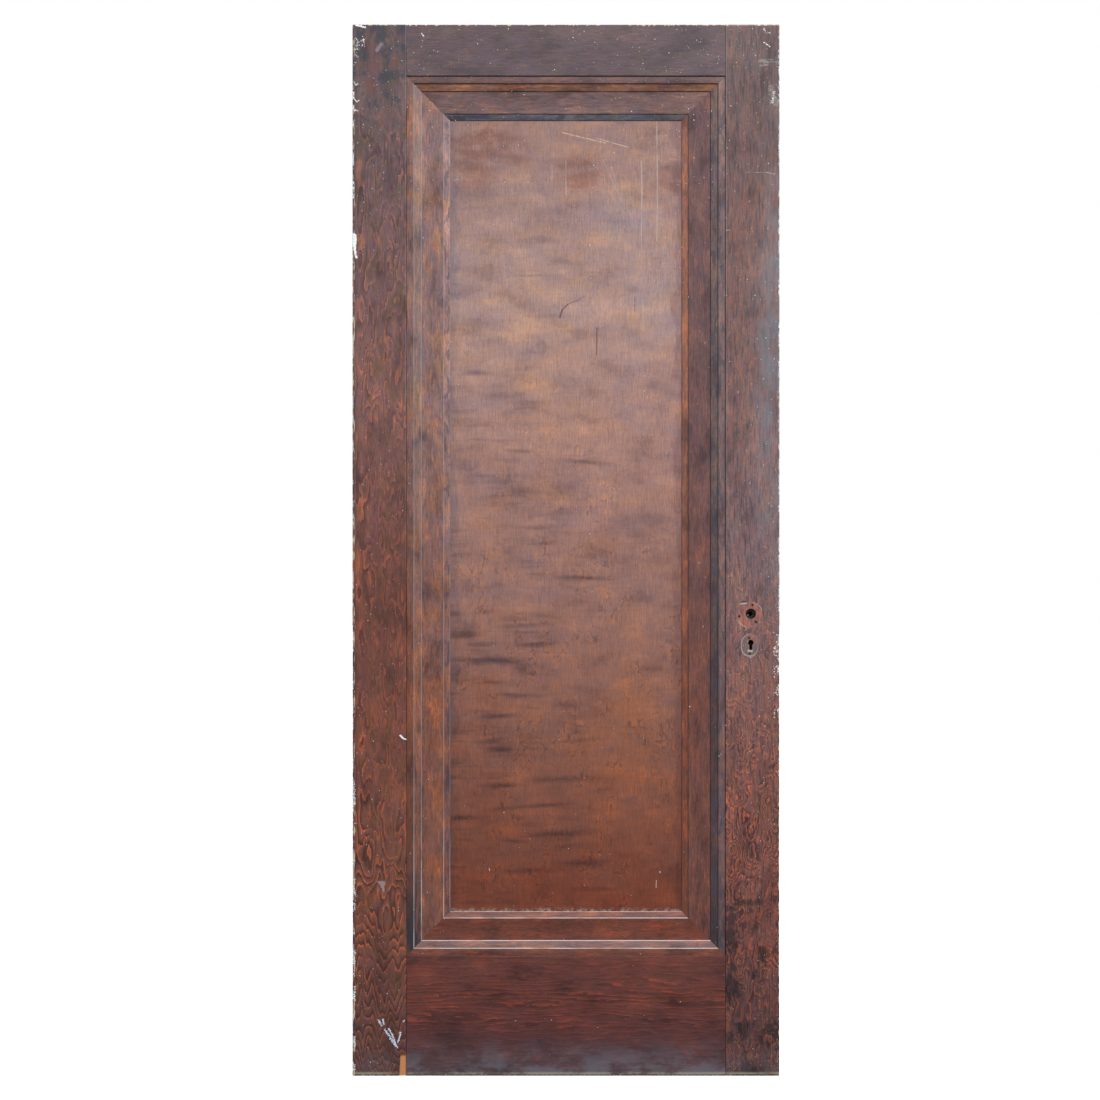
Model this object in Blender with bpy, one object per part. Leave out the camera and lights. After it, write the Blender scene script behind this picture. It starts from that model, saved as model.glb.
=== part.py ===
"""An old one-panel solid wood door leaf, in metres.

+X runs across the width from the hinge edge to the lock edge, the weathered front looks along -Y and
+Z is up. The origin is the middle of the hinge edge. Two stiles run the full height, two rails are
tenoned between them, a flat panel sits in grooves, and a mitred stepped moulding rings the panel on
both faces. A mortise lock is let into the lock stile, with its knob and plates gone.
"""

import math

import bmesh
import bpy
from mathutils import Vector

# The leaf
DOOR_WIDTH = 0.813
DOOR_HEIGHT = 2.000
DOOR_THICKNESS = 0.04445
ARRIS = 0.0012  # small worn corner along the leaf's outer edges
GAP = 0.0003  # between pieces that touch

# Stiles, rails and panel
STILE_WIDTH = 0.103
TOP_RAIL_HEIGHT = 0.098
BOTTOM_RAIL_HEIGHT = 0.228
PANEL_THICKNESS = 0.0095
GROOVE_DEPTH = 0.010
PANEL_SWELL_ROOM = 0.002  # left at the bottom of each groove
TENON_LENGTH = 0.050
TENON_THICKNESS = 0.0125
TENON_SHOULDER = 0.020  # from the rail's outer edge to its tenon
TENON_BELOW_GROOVE = 0.006

# The moulding's face, from the stile in to the panel: fillet, slope, cove and bevel
FACE_STEP = 0.003  # from the stile's face down to the fillet
FILLET_WIDTH = 0.014
FILLET_RISER = 0.002
SLOPE_WIDTH = 0.014
COVE_RISER = 0.0015
COVE_WIDTH = 0.0425
COVE_DROP = 0.002
COVE_STEPS = 8
BEVEL_RISER = 0.001
BEVEL_WIDTH = 0.012
BEVEL_DROP = 0.0027
MOULDING_EDGE = 0.001  # thickness left along the panel

# Hinge gains, cut into the hinge edge from the back face
GAIN_HEIGHT = 0.089
GAIN_WIDTH = 0.032
GAIN_DEPTH = 0.003
GAIN_FROM_END = 0.180  # from the leaf's end to the gain
HINGE_SCREW_DIAMETER = 0.0036
HINGE_SCREW_DEPTH = 0.028
HINGE_SCREW_SPACING = 0.031
HINGE_SCREW_STAGGER = 0.009  # the middle hole's step across the leaf

# The mortise lock, its spindle hub and its keyhole
LOCK_BACKSET = 0.055  # from the lock edge to the hub's axis
KNOB_HEIGHT = 0.879  # from the leaf's bottom to the hub's axis
KNOB_HOLE_DIAMETER = 0.0195
HUB_DIAMETER = 0.0165
HUB_PROUD = 0.0002
SPINDLE_SIDE = 0.008
KEY_BELOW_KNOB = 0.055  # down to the centre of the keyhole's round top
KEYHOLE_DIAMETER = 0.0108
KEYHOLE_SLOT_WIDTH = 0.0058
KEYHOLE_TAIL = 0.014  # from the round top's centre to the slot's foot
KEYWAY_MARGIN = 0.0005  # the case's keyway is this much tighter all round
CASE_THICKNESS = 0.015
CASE_ABOVE_HUB = 0.045
CASE_BELOW_KEYHOLE = 0.025
CASE_BEHIND_HUB = 0.025
FOREND_WIDTH = 0.022
FOREND_THICKNESS = 0.003
FOREND_OVERHANG = 0.020  # past the case, above and below
BOLT_RECESS = 0.0012  # how far the withdrawn bolts' ends lie under the forend's face
LATCH_HEIGHT = 0.020
LATCH_THICKNESS = 0.011
DEADBOLT_HEIGHT = 0.026
DEADBOLT_THICKNESS = 0.010
SCREW_HEAD_DIAMETER = 0.0076
SCREW_SHANK_DIAMETER = 0.004
SCREW_LENGTH = 0.025
SCREW_SLOT_WIDTH = 0.001
SCREW_SLOT_DEPTH = 0.0009

# Empty fixing holes on the front, across and up from the knob hole's and the keyhole's centres
ROSE_SCREW_DIAMETER = 0.0028
ROSE_SCREW_DEPTH = 0.012
ROSE_SCREWS = ((0.0032, 0.0167), (-0.0217, -0.0048), (0.0097, -0.0156))
PLATE_PIN_DIAMETER = 0.002
PLATE_PIN_DEPTH = 0.008
PLATE_PINS = ((-0.0029, 0.0089), (-0.0017, -0.0202))

# The splinter missing from the hinge stile's foot, beside the bottom rail
CHIP_WIDTH = 0.0135
CHIP_HEIGHT = 0.041
CHIP_LEAN = 0.002  # the split's slant over its height
CHIP_DEPTH = 0.003

ROUND_STEPS = 24
SMALL_ROUND_STEPS = 10
OVERCUT = 0.002  # how far a cutter runs past the face that it cuts

FRONT = -DOOR_THICKNESS / 2
BACK = DOOR_THICKNESS / 2
BOTTOM = -DOOR_HEIGHT / 2
TOP = DOOR_HEIGHT / 2
OPENING_LEFT = STILE_WIDTH
OPENING_RIGHT = DOOR_WIDTH - STILE_WIDTH
OPENING_BOTTOM = BOTTOM + BOTTOM_RAIL_HEIGHT
OPENING_TOP = TOP - TOP_RAIL_HEIGHT
KNOB_X = DOOR_WIDTH - LOCK_BACKSET
KNOB_Z = BOTTOM + KNOB_HEIGHT
KEY_Z = KNOB_Z - KEY_BELOW_KNOB
CASE_TOP = KNOB_Z + CASE_ABOVE_HUB
CASE_BOTTOM = KEY_Z - KEYHOLE_TAIL - CASE_BELOW_KEYHOLE
FOREND_TOP = CASE_TOP + FOREND_OVERHANG
FOREND_BOTTOM = CASE_BOTTOM - FOREND_OVERHANG

# Colour, roughness and metallic value of each kind of surface
STILE_WOOD = ((0.125, 0.062, 0.045), 0.55, 0.0)
RAIL_WOOD = ((0.115, 0.058, 0.045), 0.55, 0.0)
PANEL_WOOD = ((0.200, 0.095, 0.045), 0.50, 0.0)
MOULDING_WOOD = ((0.160, 0.080, 0.042), 0.50, 0.0)
LOCK_IRON = ((0.110, 0.105, 0.100), 0.60, 0.9)
HUB_IRON = ((0.180, 0.175, 0.170), 0.50, 0.9)
SCREW_STEEL = ((0.160, 0.150, 0.140), 0.50, 0.9)


def clear_scene():
    for old in list(bpy.data.objects):
        bpy.data.objects.remove(old, do_unlink=True)


def paint(piece, finish):
    """Give the piece a material of its own."""
    colour, roughness, metallic = finish
    material = bpy.data.materials.new(piece.name)
    material.use_nodes = True
    shader = material.node_tree.nodes["Principled BSDF"]
    shader.inputs["Base Color"].default_value = (*colour, 1.0)
    shader.inputs["Roughness"].default_value = roughness
    shader.inputs["Metallic"].default_value = metallic
    piece.data.materials.append(material)


def loft(name, near, far):
    """A closed solid between two loops of as many points, with a flat cap on each."""
    bm = bmesh.new()
    first = [bm.verts.new(point) for point in near]
    last = [bm.verts.new(point) for point in far]
    bm.faces.new(first)
    bm.faces.new(last)
    for i in range(len(first)):
        j = (i + 1) % len(first)
        bm.faces.new((first[i], first[j], last[j], last[i]))
    bmesh.ops.recalc_face_normals(bm, faces=bm.faces)
    mesh = bpy.data.meshes.new(name)
    bm.to_mesh(mesh)
    bm.free()
    piece = bpy.data.objects.new(name, mesh)
    bpy.context.scene.collection.objects.link(piece)
    return piece


def along_x(name, outline, start, end):
    """An outline of (y, z) points pushed straight along X."""
    return loft(name, [(start, y, z) for y, z in outline], [(end, y, z) for y, z in outline])


def along_y(name, outline, start, end):
    """An outline of (x, z) points pushed straight along Y."""
    return loft(name, [(x, start, z) for x, z in outline], [(x, end, z) for x, z in outline])


def along_z(name, outline, start, end):
    """An outline of (x, y) points pushed straight along Z."""
    return loft(name, [(x, y, start) for x, y in outline], [(x, y, end) for x, y in outline])


def block(name, low, high):
    """A box between two corners."""
    corners = ((low[0], low[1]), (high[0], low[1]), (high[0], high[1]), (low[0], high[1]))
    return along_z(name, corners, low[2], high[2])


def circle(centre, diameter, steps):
    """Points round a circle whose flats are as far out as the circle itself."""
    radius = diameter / 2 / math.cos(math.pi / steps)
    angles = [math.tau * (i + 0.5) / steps for i in range(steps)]
    return [(centre[0] + radius * math.cos(a), centre[1] + radius * math.sin(a)) for a in angles]


def combine(piece, other, operation):
    """Cut the other solid out of the piece, or add it, and hide the other solid."""
    other.hide_render = True
    other.display_type = "WIRE"
    change = piece.modifiers.new(other.name, "BOOLEAN")
    change.operation = operation
    change.solver = "EXACT"
    change.object = other


def cut(piece, *cutters):
    for cutter in cutters:
        combine(piece, cutter, "DIFFERENCE")


def make_stile(name, outer, inner, finish):
    """A full-height upright between its outer edge and the panel opening, arrises taken off outside."""
    inward = math.copysign(ARRIS, inner - outer)
    outline = (
        (outer, FRONT + ARRIS),
        (outer + inward, FRONT),
        (inner, FRONT),
        (inner, BACK),
        (outer + inward, BACK),
        (outer, BACK - ARRIS),
    )
    stile = along_z(name, outline, BOTTOM, TOP)
    cut(stile, stile_groove(name, inner), *stile_mortises(name, inner))
    paint(stile, finish)
    return stile


def stile_groove(name, inner):
    """The groove for the panel's edge, stopped a little past each rail's inner edge."""
    half = PANEL_THICKNESS / 2 + GAP
    into = math.copysign(GROOVE_DEPTH, inner - DOOR_WIDTH / 2)
    mouth = inner - math.copysign(OVERCUT, into)
    low = (min(mouth, inner + into), -half, OPENING_BOTTOM - GROOVE_DEPTH)
    high = (max(mouth, inner + into), half, OPENING_TOP + GROOVE_DEPTH)
    return block(name + "_groove", low, high)


def tenon_heights():
    """Bottom and top of each rail's tenons."""
    from_groove = GROOVE_DEPTH + TENON_BELOW_GROOVE
    return (
        (BOTTOM + TENON_SHOULDER, OPENING_BOTTOM - from_groove),
        (OPENING_TOP + from_groove, TOP - TENON_SHOULDER),
    )


def stile_mortises(name, inner):
    """The blind mortises that take the rails' tenons."""
    half = TENON_THICKNESS / 2 + GAP
    into = math.copysign(TENON_LENGTH + GAP, inner - DOOR_WIDTH / 2)
    mouth = inner - math.copysign(OVERCUT, into)
    for i, (low_z, high_z) in enumerate(tenon_heights()):
        low = (min(mouth, inner + into), -half, low_z - GAP)
        high = (max(mouth, inner + into), half, high_z + GAP)
        yield block(f"{name}_mortise_{i}", low, high)


def make_rail(name, outer, inner, tenon):
    """A crosspiece between the stiles, grooved for the panel, with one tenon at each end."""
    inward = math.copysign(ARRIS, inner - outer)
    outline = (
        (FRONT + ARRIS, outer),
        (FRONT, outer + inward),
        (FRONT, inner),
        (BACK, inner),
        (BACK, outer + inward),
        (BACK - ARRIS, outer),
    )
    rail = along_x(name, outline, OPENING_LEFT + GAP, OPENING_RIGHT - GAP)
    half = TENON_THICKNESS / 2
    low = (OPENING_LEFT - TENON_LENGTH, -half, tenon[0])
    high = (OPENING_RIGHT + TENON_LENGTH, half, tenon[1])
    combine(rail, block(name + "_tenons", low, high), "UNION")
    cut(rail, rail_groove(name, inner))
    paint(rail, RAIL_WOOD)
    return rail


def rail_groove(name, inner):
    """The groove for the panel's edge, along the rail's whole length."""
    half = PANEL_THICKNESS / 2 + GAP
    into = math.copysign(GROOVE_DEPTH, inner)
    mouth = inner - math.copysign(OVERCUT, into)
    low = (OPENING_LEFT - OVERCUT, -half, min(mouth, inner + into))
    high = (OPENING_RIGHT + OVERCUT, half, max(mouth, inner + into))
    return block(name + "_groove", low, high)


def make_panel():
    """The flat board, let into the grooves with room to swell."""
    reach = GROOVE_DEPTH - PANEL_SWELL_ROOM
    half = PANEL_THICKNESS / 2
    low = (OPENING_LEFT - reach, -half, OPENING_BOTTOM - reach)
    high = (OPENING_RIGHT + reach, half, OPENING_TOP + reach)
    panel = block("panel", low, high)
    paint(panel, PANEL_WOOD)


def moulding_profile():
    """(in from the frame, up from the panel's face) points round one moulding's section."""
    seat = GAP
    crest = (DOOR_THICKNESS - PANEL_THICKNESS) / 2 - FACE_STEP
    bevel_foot = seat + MOULDING_EDGE
    bevel_head = bevel_foot + BEVEL_DROP
    cove_foot = bevel_head + BEVEL_RISER
    cove_head = cove_foot + COVE_DROP
    slope_foot = cove_head + COVE_RISER
    slope_head = crest - FILLET_RISER
    slope_start = FILLET_WIDTH
    cove_start = slope_start + SLOPE_WIDTH
    bevel_start = cove_start + COVE_WIDTH
    inside = bevel_start + BEVEL_WIDTH
    points = [(GAP, seat), (GAP, crest), (slope_start, crest), (slope_start, slope_head)]
    points.append((cove_start, slope_foot))
    for i in range(COVE_STEPS + 1):
        part = i / COVE_STEPS
        drop = COVE_DROP * math.sin(part * math.pi / 2)
        points.append((cove_start + COVE_WIDTH * part, cove_head - drop))
    points += [(bevel_start, bevel_head), (inside, bevel_foot), (inside, seat)]
    return points


def make_moulding(face, side, corner, run, inward):
    """One mitred length: it starts at a corner of the opening, runs along one side and lies inward."""
    outside = -1.0 if face == "front" else 1.0
    seat_y = outside * PANEL_THICKNESS / 2
    half_run = Vector(run) / 2
    unit = half_run.normalized()
    middle = Vector(corner) + half_run
    near = []
    far = []
    for across, up in moulding_profile():
        place = middle + Vector(inward) * across
        place.y = seat_y + outside * up
        reach = half_run.length - across - GAP / 2
        near.append(place - unit * reach)
        far.append(place + unit * reach)
    moulding = loft(f"{face}_moulding_{side}", near, far)
    paint(moulding, MOULDING_WOOD)


def make_mouldings():
    """Four mitred lengths round the panel, on each face."""
    wide = (OPENING_RIGHT - OPENING_LEFT, 0, 0)
    high = (0, 0, OPENING_TOP - OPENING_BOTTOM)
    sides = {
        "top": ((OPENING_LEFT, 0, OPENING_TOP), wide, (0, 0, -1)),
        "bottom": ((OPENING_LEFT, 0, OPENING_BOTTOM), wide, (0, 0, 1)),
        "left": ((OPENING_LEFT, 0, OPENING_BOTTOM), high, (1, 0, 0)),
        "right": ((OPENING_RIGHT, 0, OPENING_BOTTOM), high, (-1, 0, 0)),
    }
    for face in ("front", "back"):
        for side, (corner, run, inward) in sides.items():
            make_moulding(face, side, corner, run, inward)


def gain_bottoms():
    """Lower end of each hinge gain, by name."""
    return {"lower": BOTTOM + GAIN_FROM_END, "upper": TOP - GAIN_FROM_END - GAIN_HEIGHT}


def cut_hinge_gains(stile):
    """A shallow seat for each hinge leaf, open to the back face, with three screw holes."""
    for name, low_z in gain_bottoms().items():
        low = (-OVERCUT, BACK - GAIN_WIDTH, low_z)
        high = (GAIN_DEPTH, BACK + OVERCUT, low_z + GAIN_HEIGHT)
        cut(stile, block(f"{name}_gain", low, high))
        for i in (-1, 0, 1):
            y = BACK - GAIN_WIDTH / 2 + (HINGE_SCREW_STAGGER / 2 if i else -HINGE_SCREW_STAGGER / 2)
            z = low_z + GAIN_HEIGHT / 2 + i * HINGE_SCREW_SPACING
            hole = circle((y, z), HINGE_SCREW_DIAMETER, SMALL_ROUND_STEPS)
            end = GAIN_DEPTH + HINGE_SCREW_DEPTH
            cut(stile, along_x(f"{name}_gain_screw_{i + 1}", hole, GAIN_DEPTH / 2, end))


def cut_chip(stile):
    """The long splinter split off the stile's foot, deepest at the joint with the rail."""
    foot_left = OPENING_LEFT - CHIP_WIDTH
    outline = (
        (foot_left, BOTTOM - OVERCUT),
        (OPENING_LEFT + OVERCUT, BOTTOM - OVERCUT),
        (OPENING_LEFT + OVERCUT, BOTTOM + CHIP_HEIGHT),
        (foot_left + CHIP_LEAN, BOTTOM + CHIP_HEIGHT),
    )
    cut(stile, along_y("chip", outline, FRONT - OVERCUT, FRONT + CHIP_DEPTH))


def keyhole_outline(tighter):
    """A round top with a slot below it, as (x, z) points."""
    radius = KEYHOLE_DIAMETER / 2 - tighter
    half_slot = KEYHOLE_SLOT_WIDTH / 2 - tighter
    foot = KEY_Z - KEYHOLE_TAIL + tighter
    shoulder = math.asin(half_slot / radius)
    start = -math.pi / 2 + shoulder
    sweep = math.tau - 2 * shoulder
    points = []
    for i in range(ROUND_STEPS + 1):
        angle = start + sweep * i / ROUND_STEPS
        points.append((KNOB_X + radius * math.cos(angle), KEY_Z + radius * math.sin(angle)))
    return points + [(KNOB_X - half_slot, foot), (KNOB_X + half_slot, foot)]


def cut_lock_places(stile):
    """The pocket for the case, the forend's seat, and the holes that open on it from the front."""
    into_pocket = (FRONT - OVERCUT, 0.0)
    pocket = block(
        "lock_pocket",
        (KNOB_X - CASE_BEHIND_HUB - GAP, -CASE_THICKNESS / 2 - GAP, CASE_BOTTOM - GAP),
        (DOOR_WIDTH + OVERCUT, CASE_THICKNESS / 2 + GAP, CASE_TOP + GAP),
    )
    seat = block(
        "forend_seat",
        (DOOR_WIDTH - FOREND_THICKNESS - GAP, -FOREND_WIDTH / 2 - GAP, FOREND_BOTTOM - GAP),
        (DOOR_WIDTH + OVERCUT, FOREND_WIDTH / 2 + GAP, FOREND_TOP + GAP),
    )
    knob_hole = circle((KNOB_X, KNOB_Z), KNOB_HOLE_DIAMETER, ROUND_STEPS)
    cut(stile, pocket, seat, along_y("knob_hole", knob_hole, *into_pocket))
    cut(stile, along_y("keyhole", keyhole_outline(0.0), *into_pocket))
    for z in screw_heights():
        hole = circle((0, z), SCREW_SHANK_DIAMETER + 2 * GAP, SMALL_ROUND_STEPS)
        end = DOOR_WIDTH - SCREW_LENGTH - GAP
        cut(stile, along_x("forend_screw_hole", hole, DOOR_WIDTH - FOREND_THICKNESS / 2, end))
    for across, up in ROSE_SCREWS:
        hole = circle((KNOB_X + across, KNOB_Z + up), ROSE_SCREW_DIAMETER, SMALL_ROUND_STEPS)
        cut(stile, along_y("rose_screw_hole", hole, into_pocket[0], FRONT + ROSE_SCREW_DEPTH))
    for across, up in PLATE_PINS:
        hole = circle((KNOB_X + across, KEY_Z + up), PLATE_PIN_DIAMETER, SMALL_ROUND_STEPS)
        cut(stile, along_y("plate_pin_hole", hole, into_pocket[0], FRONT + PLATE_PIN_DEPTH))


def screw_heights():
    """Heights of the forend's two screws, midway in its ends past the case."""
    return (FOREND_BOTTOM + FOREND_OVERHANG / 2, FOREND_TOP - FOREND_OVERHANG / 2)


def make_lock_case():
    """The iron case with its forend, bored for the hub and the key, its bolts withdrawn flush."""
    half = CASE_THICKNESS / 2
    low = (KNOB_X - CASE_BEHIND_HUB, -half, CASE_BOTTOM)
    case = block("lock_case", low, (DOOR_WIDTH - FOREND_THICKNESS / 2, half, CASE_TOP))
    forend = block(
        "lock_forend",
        (DOOR_WIDTH - FOREND_THICKNESS, -FOREND_WIDTH / 2, FOREND_BOTTOM),
        (DOOR_WIDTH, FOREND_WIDTH / 2, FOREND_TOP),
    )
    combine(case, forend, "UNION")
    through = (-half - OVERCUT, half + OVERCUT)
    hub_hole = circle((KNOB_X, KNOB_Z), HUB_DIAMETER + 2 * GAP, ROUND_STEPS)
    cut(case, along_y("hub_hole", hub_hole, *through))
    cut(case, along_y("keyway", keyhole_outline(KEYWAY_MARGIN), *through))
    bolts = (
        ("latch", KNOB_Z, LATCH_HEIGHT, LATCH_THICKNESS),
        ("deadbolt", KEY_Z, DEADBOLT_HEIGHT, DEADBOLT_THICKNESS),
    )
    for name, z, height, thickness in bolts:
        low = (DOOR_WIDTH - BOLT_RECESS, -thickness / 2, z - height / 2)
        cut(case, block(name + "_recess", low, (DOOR_WIDTH + OVERCUT, thickness / 2, z + height / 2)))
    for z in screw_heights():
        hole = circle((0, z), SCREW_HEAD_DIAMETER + 2 * GAP, ROUND_STEPS)
        ends = (DOOR_WIDTH - FOREND_THICKNESS - OVERCUT, DOOR_WIDTH + OVERCUT)
        cut(case, along_x("forend_screw_seat", hole, *ends))
    paint(case, LOCK_IRON)


def make_lock_hub():
    """The disc that the spindle turns, with its square hole set cornerwise."""
    half = CASE_THICKNESS / 2 + HUB_PROUD
    hub = along_y("lock_hub", circle((KNOB_X, KNOB_Z), HUB_DIAMETER, ROUND_STEPS), -half, half)
    reach = SPINDLE_SIDE / math.sqrt(2)
    diamond = (
        (KNOB_X, KNOB_Z - reach),
        (KNOB_X + reach, KNOB_Z),
        (KNOB_X, KNOB_Z + reach),
        (KNOB_X - reach, KNOB_Z),
    )
    cut(hub, along_y("spindle_hole", diamond, -half - OVERCUT, half + OVERCUT))
    paint(hub, HUB_IRON)


def make_lock_screws():
    """Two slotted screws with their heads flush in the forend."""
    for name, z in zip(("lower", "upper"), screw_heights()):
        head = circle((0, z), SCREW_HEAD_DIAMETER, ROUND_STEPS)
        head_foot = DOOR_WIDTH - FOREND_THICKNESS + GAP
        screw = along_x(f"lock_screw_{name}", head, head_foot, DOOR_WIDTH)
        shank = circle((0, z), SCREW_SHANK_DIAMETER, SMALL_ROUND_STEPS)
        shank_ends = (DOOR_WIDTH - SCREW_LENGTH, DOOR_WIDTH - FOREND_THICKNESS / 2)
        combine(screw, along_x("screw_shank", shank, *shank_ends), "UNION")
        slot = block(
            "screw_slot",
            (DOOR_WIDTH - SCREW_SLOT_DEPTH, -SCREW_HEAD_DIAMETER, z - SCREW_SLOT_WIDTH / 2),
            (DOOR_WIDTH + OVERCUT, SCREW_HEAD_DIAMETER, z + SCREW_SLOT_WIDTH / 2),
        )
        cut(screw, slot)
        paint(screw, SCREW_STEEL)


def main():
    clear_scene()
    hinge_stile = make_stile("hinge_stile", 0.0, OPENING_LEFT, STILE_WOOD)
    cut_hinge_gains(hinge_stile)
    cut_chip(hinge_stile)
    lock_stile = make_stile("lock_stile", DOOR_WIDTH, OPENING_RIGHT, STILE_WOOD)
    cut_lock_places(lock_stile)
    bottom_tenon, top_tenon = tenon_heights()
    make_rail("bottom_rail", BOTTOM, OPENING_BOTTOM, bottom_tenon)
    make_rail("top_rail", TOP, OPENING_TOP, top_tenon)
    make_panel()
    make_mouldings()
    make_lock_case()
    make_lock_hub()
    make_lock_screws()


main()
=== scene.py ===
"""The looks of an old one-panel solid wood door, in metres, in the frame of its solid model.

+X runs from the hinge edge to the lock edge, the weathered front looks along -Y and +Z is up. The
stiles and rails are worn boards cut to their solids, the mouldings are mitred lengths swept from one
section, and the paint on the door is flecks and dabs laid on the surfaces below them.
"""

import math
from dataclasses import dataclass
from functools import partialmethod

import bmesh
import bpy
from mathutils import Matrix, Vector, noise


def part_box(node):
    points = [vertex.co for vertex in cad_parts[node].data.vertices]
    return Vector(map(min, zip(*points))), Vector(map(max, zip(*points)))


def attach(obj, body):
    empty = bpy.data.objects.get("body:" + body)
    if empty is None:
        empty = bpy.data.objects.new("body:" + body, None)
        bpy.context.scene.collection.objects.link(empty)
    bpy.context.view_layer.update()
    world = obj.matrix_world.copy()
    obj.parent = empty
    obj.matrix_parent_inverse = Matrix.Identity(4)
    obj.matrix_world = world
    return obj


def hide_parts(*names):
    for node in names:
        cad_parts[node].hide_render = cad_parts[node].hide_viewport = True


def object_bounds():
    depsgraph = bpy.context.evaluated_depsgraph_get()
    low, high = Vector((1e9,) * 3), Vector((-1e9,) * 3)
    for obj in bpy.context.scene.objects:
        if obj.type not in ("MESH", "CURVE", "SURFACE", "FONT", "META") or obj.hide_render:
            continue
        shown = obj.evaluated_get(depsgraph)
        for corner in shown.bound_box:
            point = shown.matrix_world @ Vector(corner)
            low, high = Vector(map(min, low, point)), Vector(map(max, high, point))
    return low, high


MM = 0.001

# The moulding's face, from the stile in to the panel
FILLET_WIDTH = 0.014
SLOPE_WIDTH = 0.014
COVE_WIDTH = 0.0425
BEVEL_WIDTH = 0.012
FACE_STEP = 0.003
FILLET_RISER = 0.002
COVE_RISER = 0.0015
COVE_DROP = 0.002
COVE_STEPS = 12
BEVEL_RISER = 0.001
BEVEL_DROP = 0.0027
MOULDING_EDGE = 0.001
GAP = 0.0003
EASING = 0.0004  # rounding of the moulding's small edges
EASING_STEPS = 3
EASING_SHARE = 0.4  # how much of an edge the rounding at one end may take
SHARP_TURN = 0.4  # sine of the least turn that is rounded

# What is welded, and what is shaded smooth or flat
WELD_DISTANCE = 0.000001
SMOOTH_ANGLE = 32
MOULDING_SMOOTH_ANGLE = 25
FLAT_NORMAL = 0.9999  # a face with a normal this straight is flat

# Wear of the boards' edges, and the sizes of the noise that shapes it
SKIN = 0.0003  # how far the worn faces lie inside the solid's faces
STATION_SPACING = 0.004
END_STATIONS = (0.0, 0.0003, 0.0008, 0.0016, 0.0028)
OUTER_ARRIS = 0.0010
OUTER_WEAR = 0.0022
INNER_ARRIS = 0.0006
INNER_WEAR = 0.0004
ARRIS_STEPS = 4
END_WEAR = 0.0011
END_WEAR_REACH = 0.002
END_WEAR_SIZE = 0.02
BROAD_WEAR_SIZE = 0.11
ROUGH_WEAR_SIZE = 0.017
KNOCK_SIZE = 0.031
KNOCK_START = 0.68  # the noise below this is no knock
CORNER_MARGIN = 0.002  # flat wood kept between two rounded corners' ends
WEAR_SHARES = (0.25, 0.25, 1.1)  # of broad wear, rough wear and knocks
TENON_SPARE = 0.005  # how far a rail's sweep runs past its tenons before it is cut

# The rose's and the key plate's ghosts on the lock stile
ROSE_DIAMETER = 0.050
PLATE_WIDTH = 0.033
PLATE_HEIGHT = 0.044
GHOST_RIM_WIDTH = 0.0015
LOCK_BACKSET = 0.055
KNOB_HEIGHT = 0.879
KEY_BELOW_KNOB = 0.055

# The splinter missing at the hinge stile's foot
CHIP_WIDTH = 0.0135
CHIP_HEIGHT = 0.041

# The mouldings' sweep
MOULDING_SPACING = 0.02
WAVER = 0.0003
WAVER_PITCH = 20.0  # waves per metre

# Paint on the front
RAY_START = 0.02
RAY_LENGTH = 0.08
DAB_THICKNESS = 0.00025
MERGE_DISTANCE = 0.00001
FLECK_DENSITY = 4500.0  # per square metre, before the thinning in the middle
SMALLEST_FLECK = 0.0003
LARGEST_FLECK = 0.0007
MIDDLE_SHARE = 0.04  # of the flecks that are kept in the middle
HEAD_FLECKS = 1.35  # above this height they thicken towards the head
EDGE_CROWDING = 6.0  # how sharply the flecks crowd towards the door's edges
SMALLNESS = 4.0  # how far most flecks are near the smallest
FLECK_STRETCH = (0.8, 1.9)
DAB_STRETCH = (0.8, 2.2)
DAB_SIZES = (0.5, 1.4)
GAPS_PER_METRE = 42.0
STROKE_RISE = 0.6  # how far dabs stray up and down, as a share of how far they stray aside

# Camera, straight in front of the door; its frame is measured on the front face
SENSOR = 36.0
FRAME_SIDE = 2.0922
CAMERA_DISTANCE = 5.0
CAMERA_X = 0.3761
CAMERA_Z = 0.0002

# Light
FLOOR_REACH = 30.0
FLOOR_GAP = 0.0005
FLOOR_GLOW = 0.35
KEY_PLACE = (2.23, -2.6, 3.18)
KEY_POWER = 155.0
KEY_COLOUR = (1.0, 0.98, 0.95)
KEY_SIZE = 1.2
SKY_STRENGTH = 1.0
SKY_STOPS = ((0.0, (0.10, 0.09, 0.085, 1)), (0.42, (0.30, 0.28, 0.27, 1)),
             (0.5, (0.60, 0.60, 0.62, 1)), (0.58, (1.0, 1.03, 1.10, 1)), (1.0, (1.1, 1.2, 1.4, 1)))

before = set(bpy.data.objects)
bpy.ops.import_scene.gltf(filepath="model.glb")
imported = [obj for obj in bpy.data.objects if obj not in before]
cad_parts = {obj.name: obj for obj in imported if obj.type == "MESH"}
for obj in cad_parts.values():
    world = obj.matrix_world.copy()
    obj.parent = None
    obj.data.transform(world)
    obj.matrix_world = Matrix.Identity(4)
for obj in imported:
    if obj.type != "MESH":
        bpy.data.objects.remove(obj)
cad_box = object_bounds()

LOW, HIGH = cad_box
FRONT = LOW.y
BACK = HIGH.y
WIDTH = HIGH.x - LOW.x
HEIGHT = HIGH.z - LOW.z
PANEL_LOW, PANEL_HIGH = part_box("panel")
PANEL_FRONT = PANEL_LOW.y
OPENING_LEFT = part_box("hinge_stile")[1].x
OPENING_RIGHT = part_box("lock_stile")[0].x
OPENING_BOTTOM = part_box("bottom_rail")[1].z
OPENING_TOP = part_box("top_rail")[0].z
KNOB_X = HIGH.x - LOCK_BACKSET
KEY_HEIGHT = KNOB_HEIGHT - KEY_BELOW_KNOB
MOULDING_WIDTH = FILLET_WIDTH + SLOPE_WIDTH + COVE_WIDTH + BEVEL_WIDTH

RIGHT_EDGE = WIDTH / MM
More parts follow.
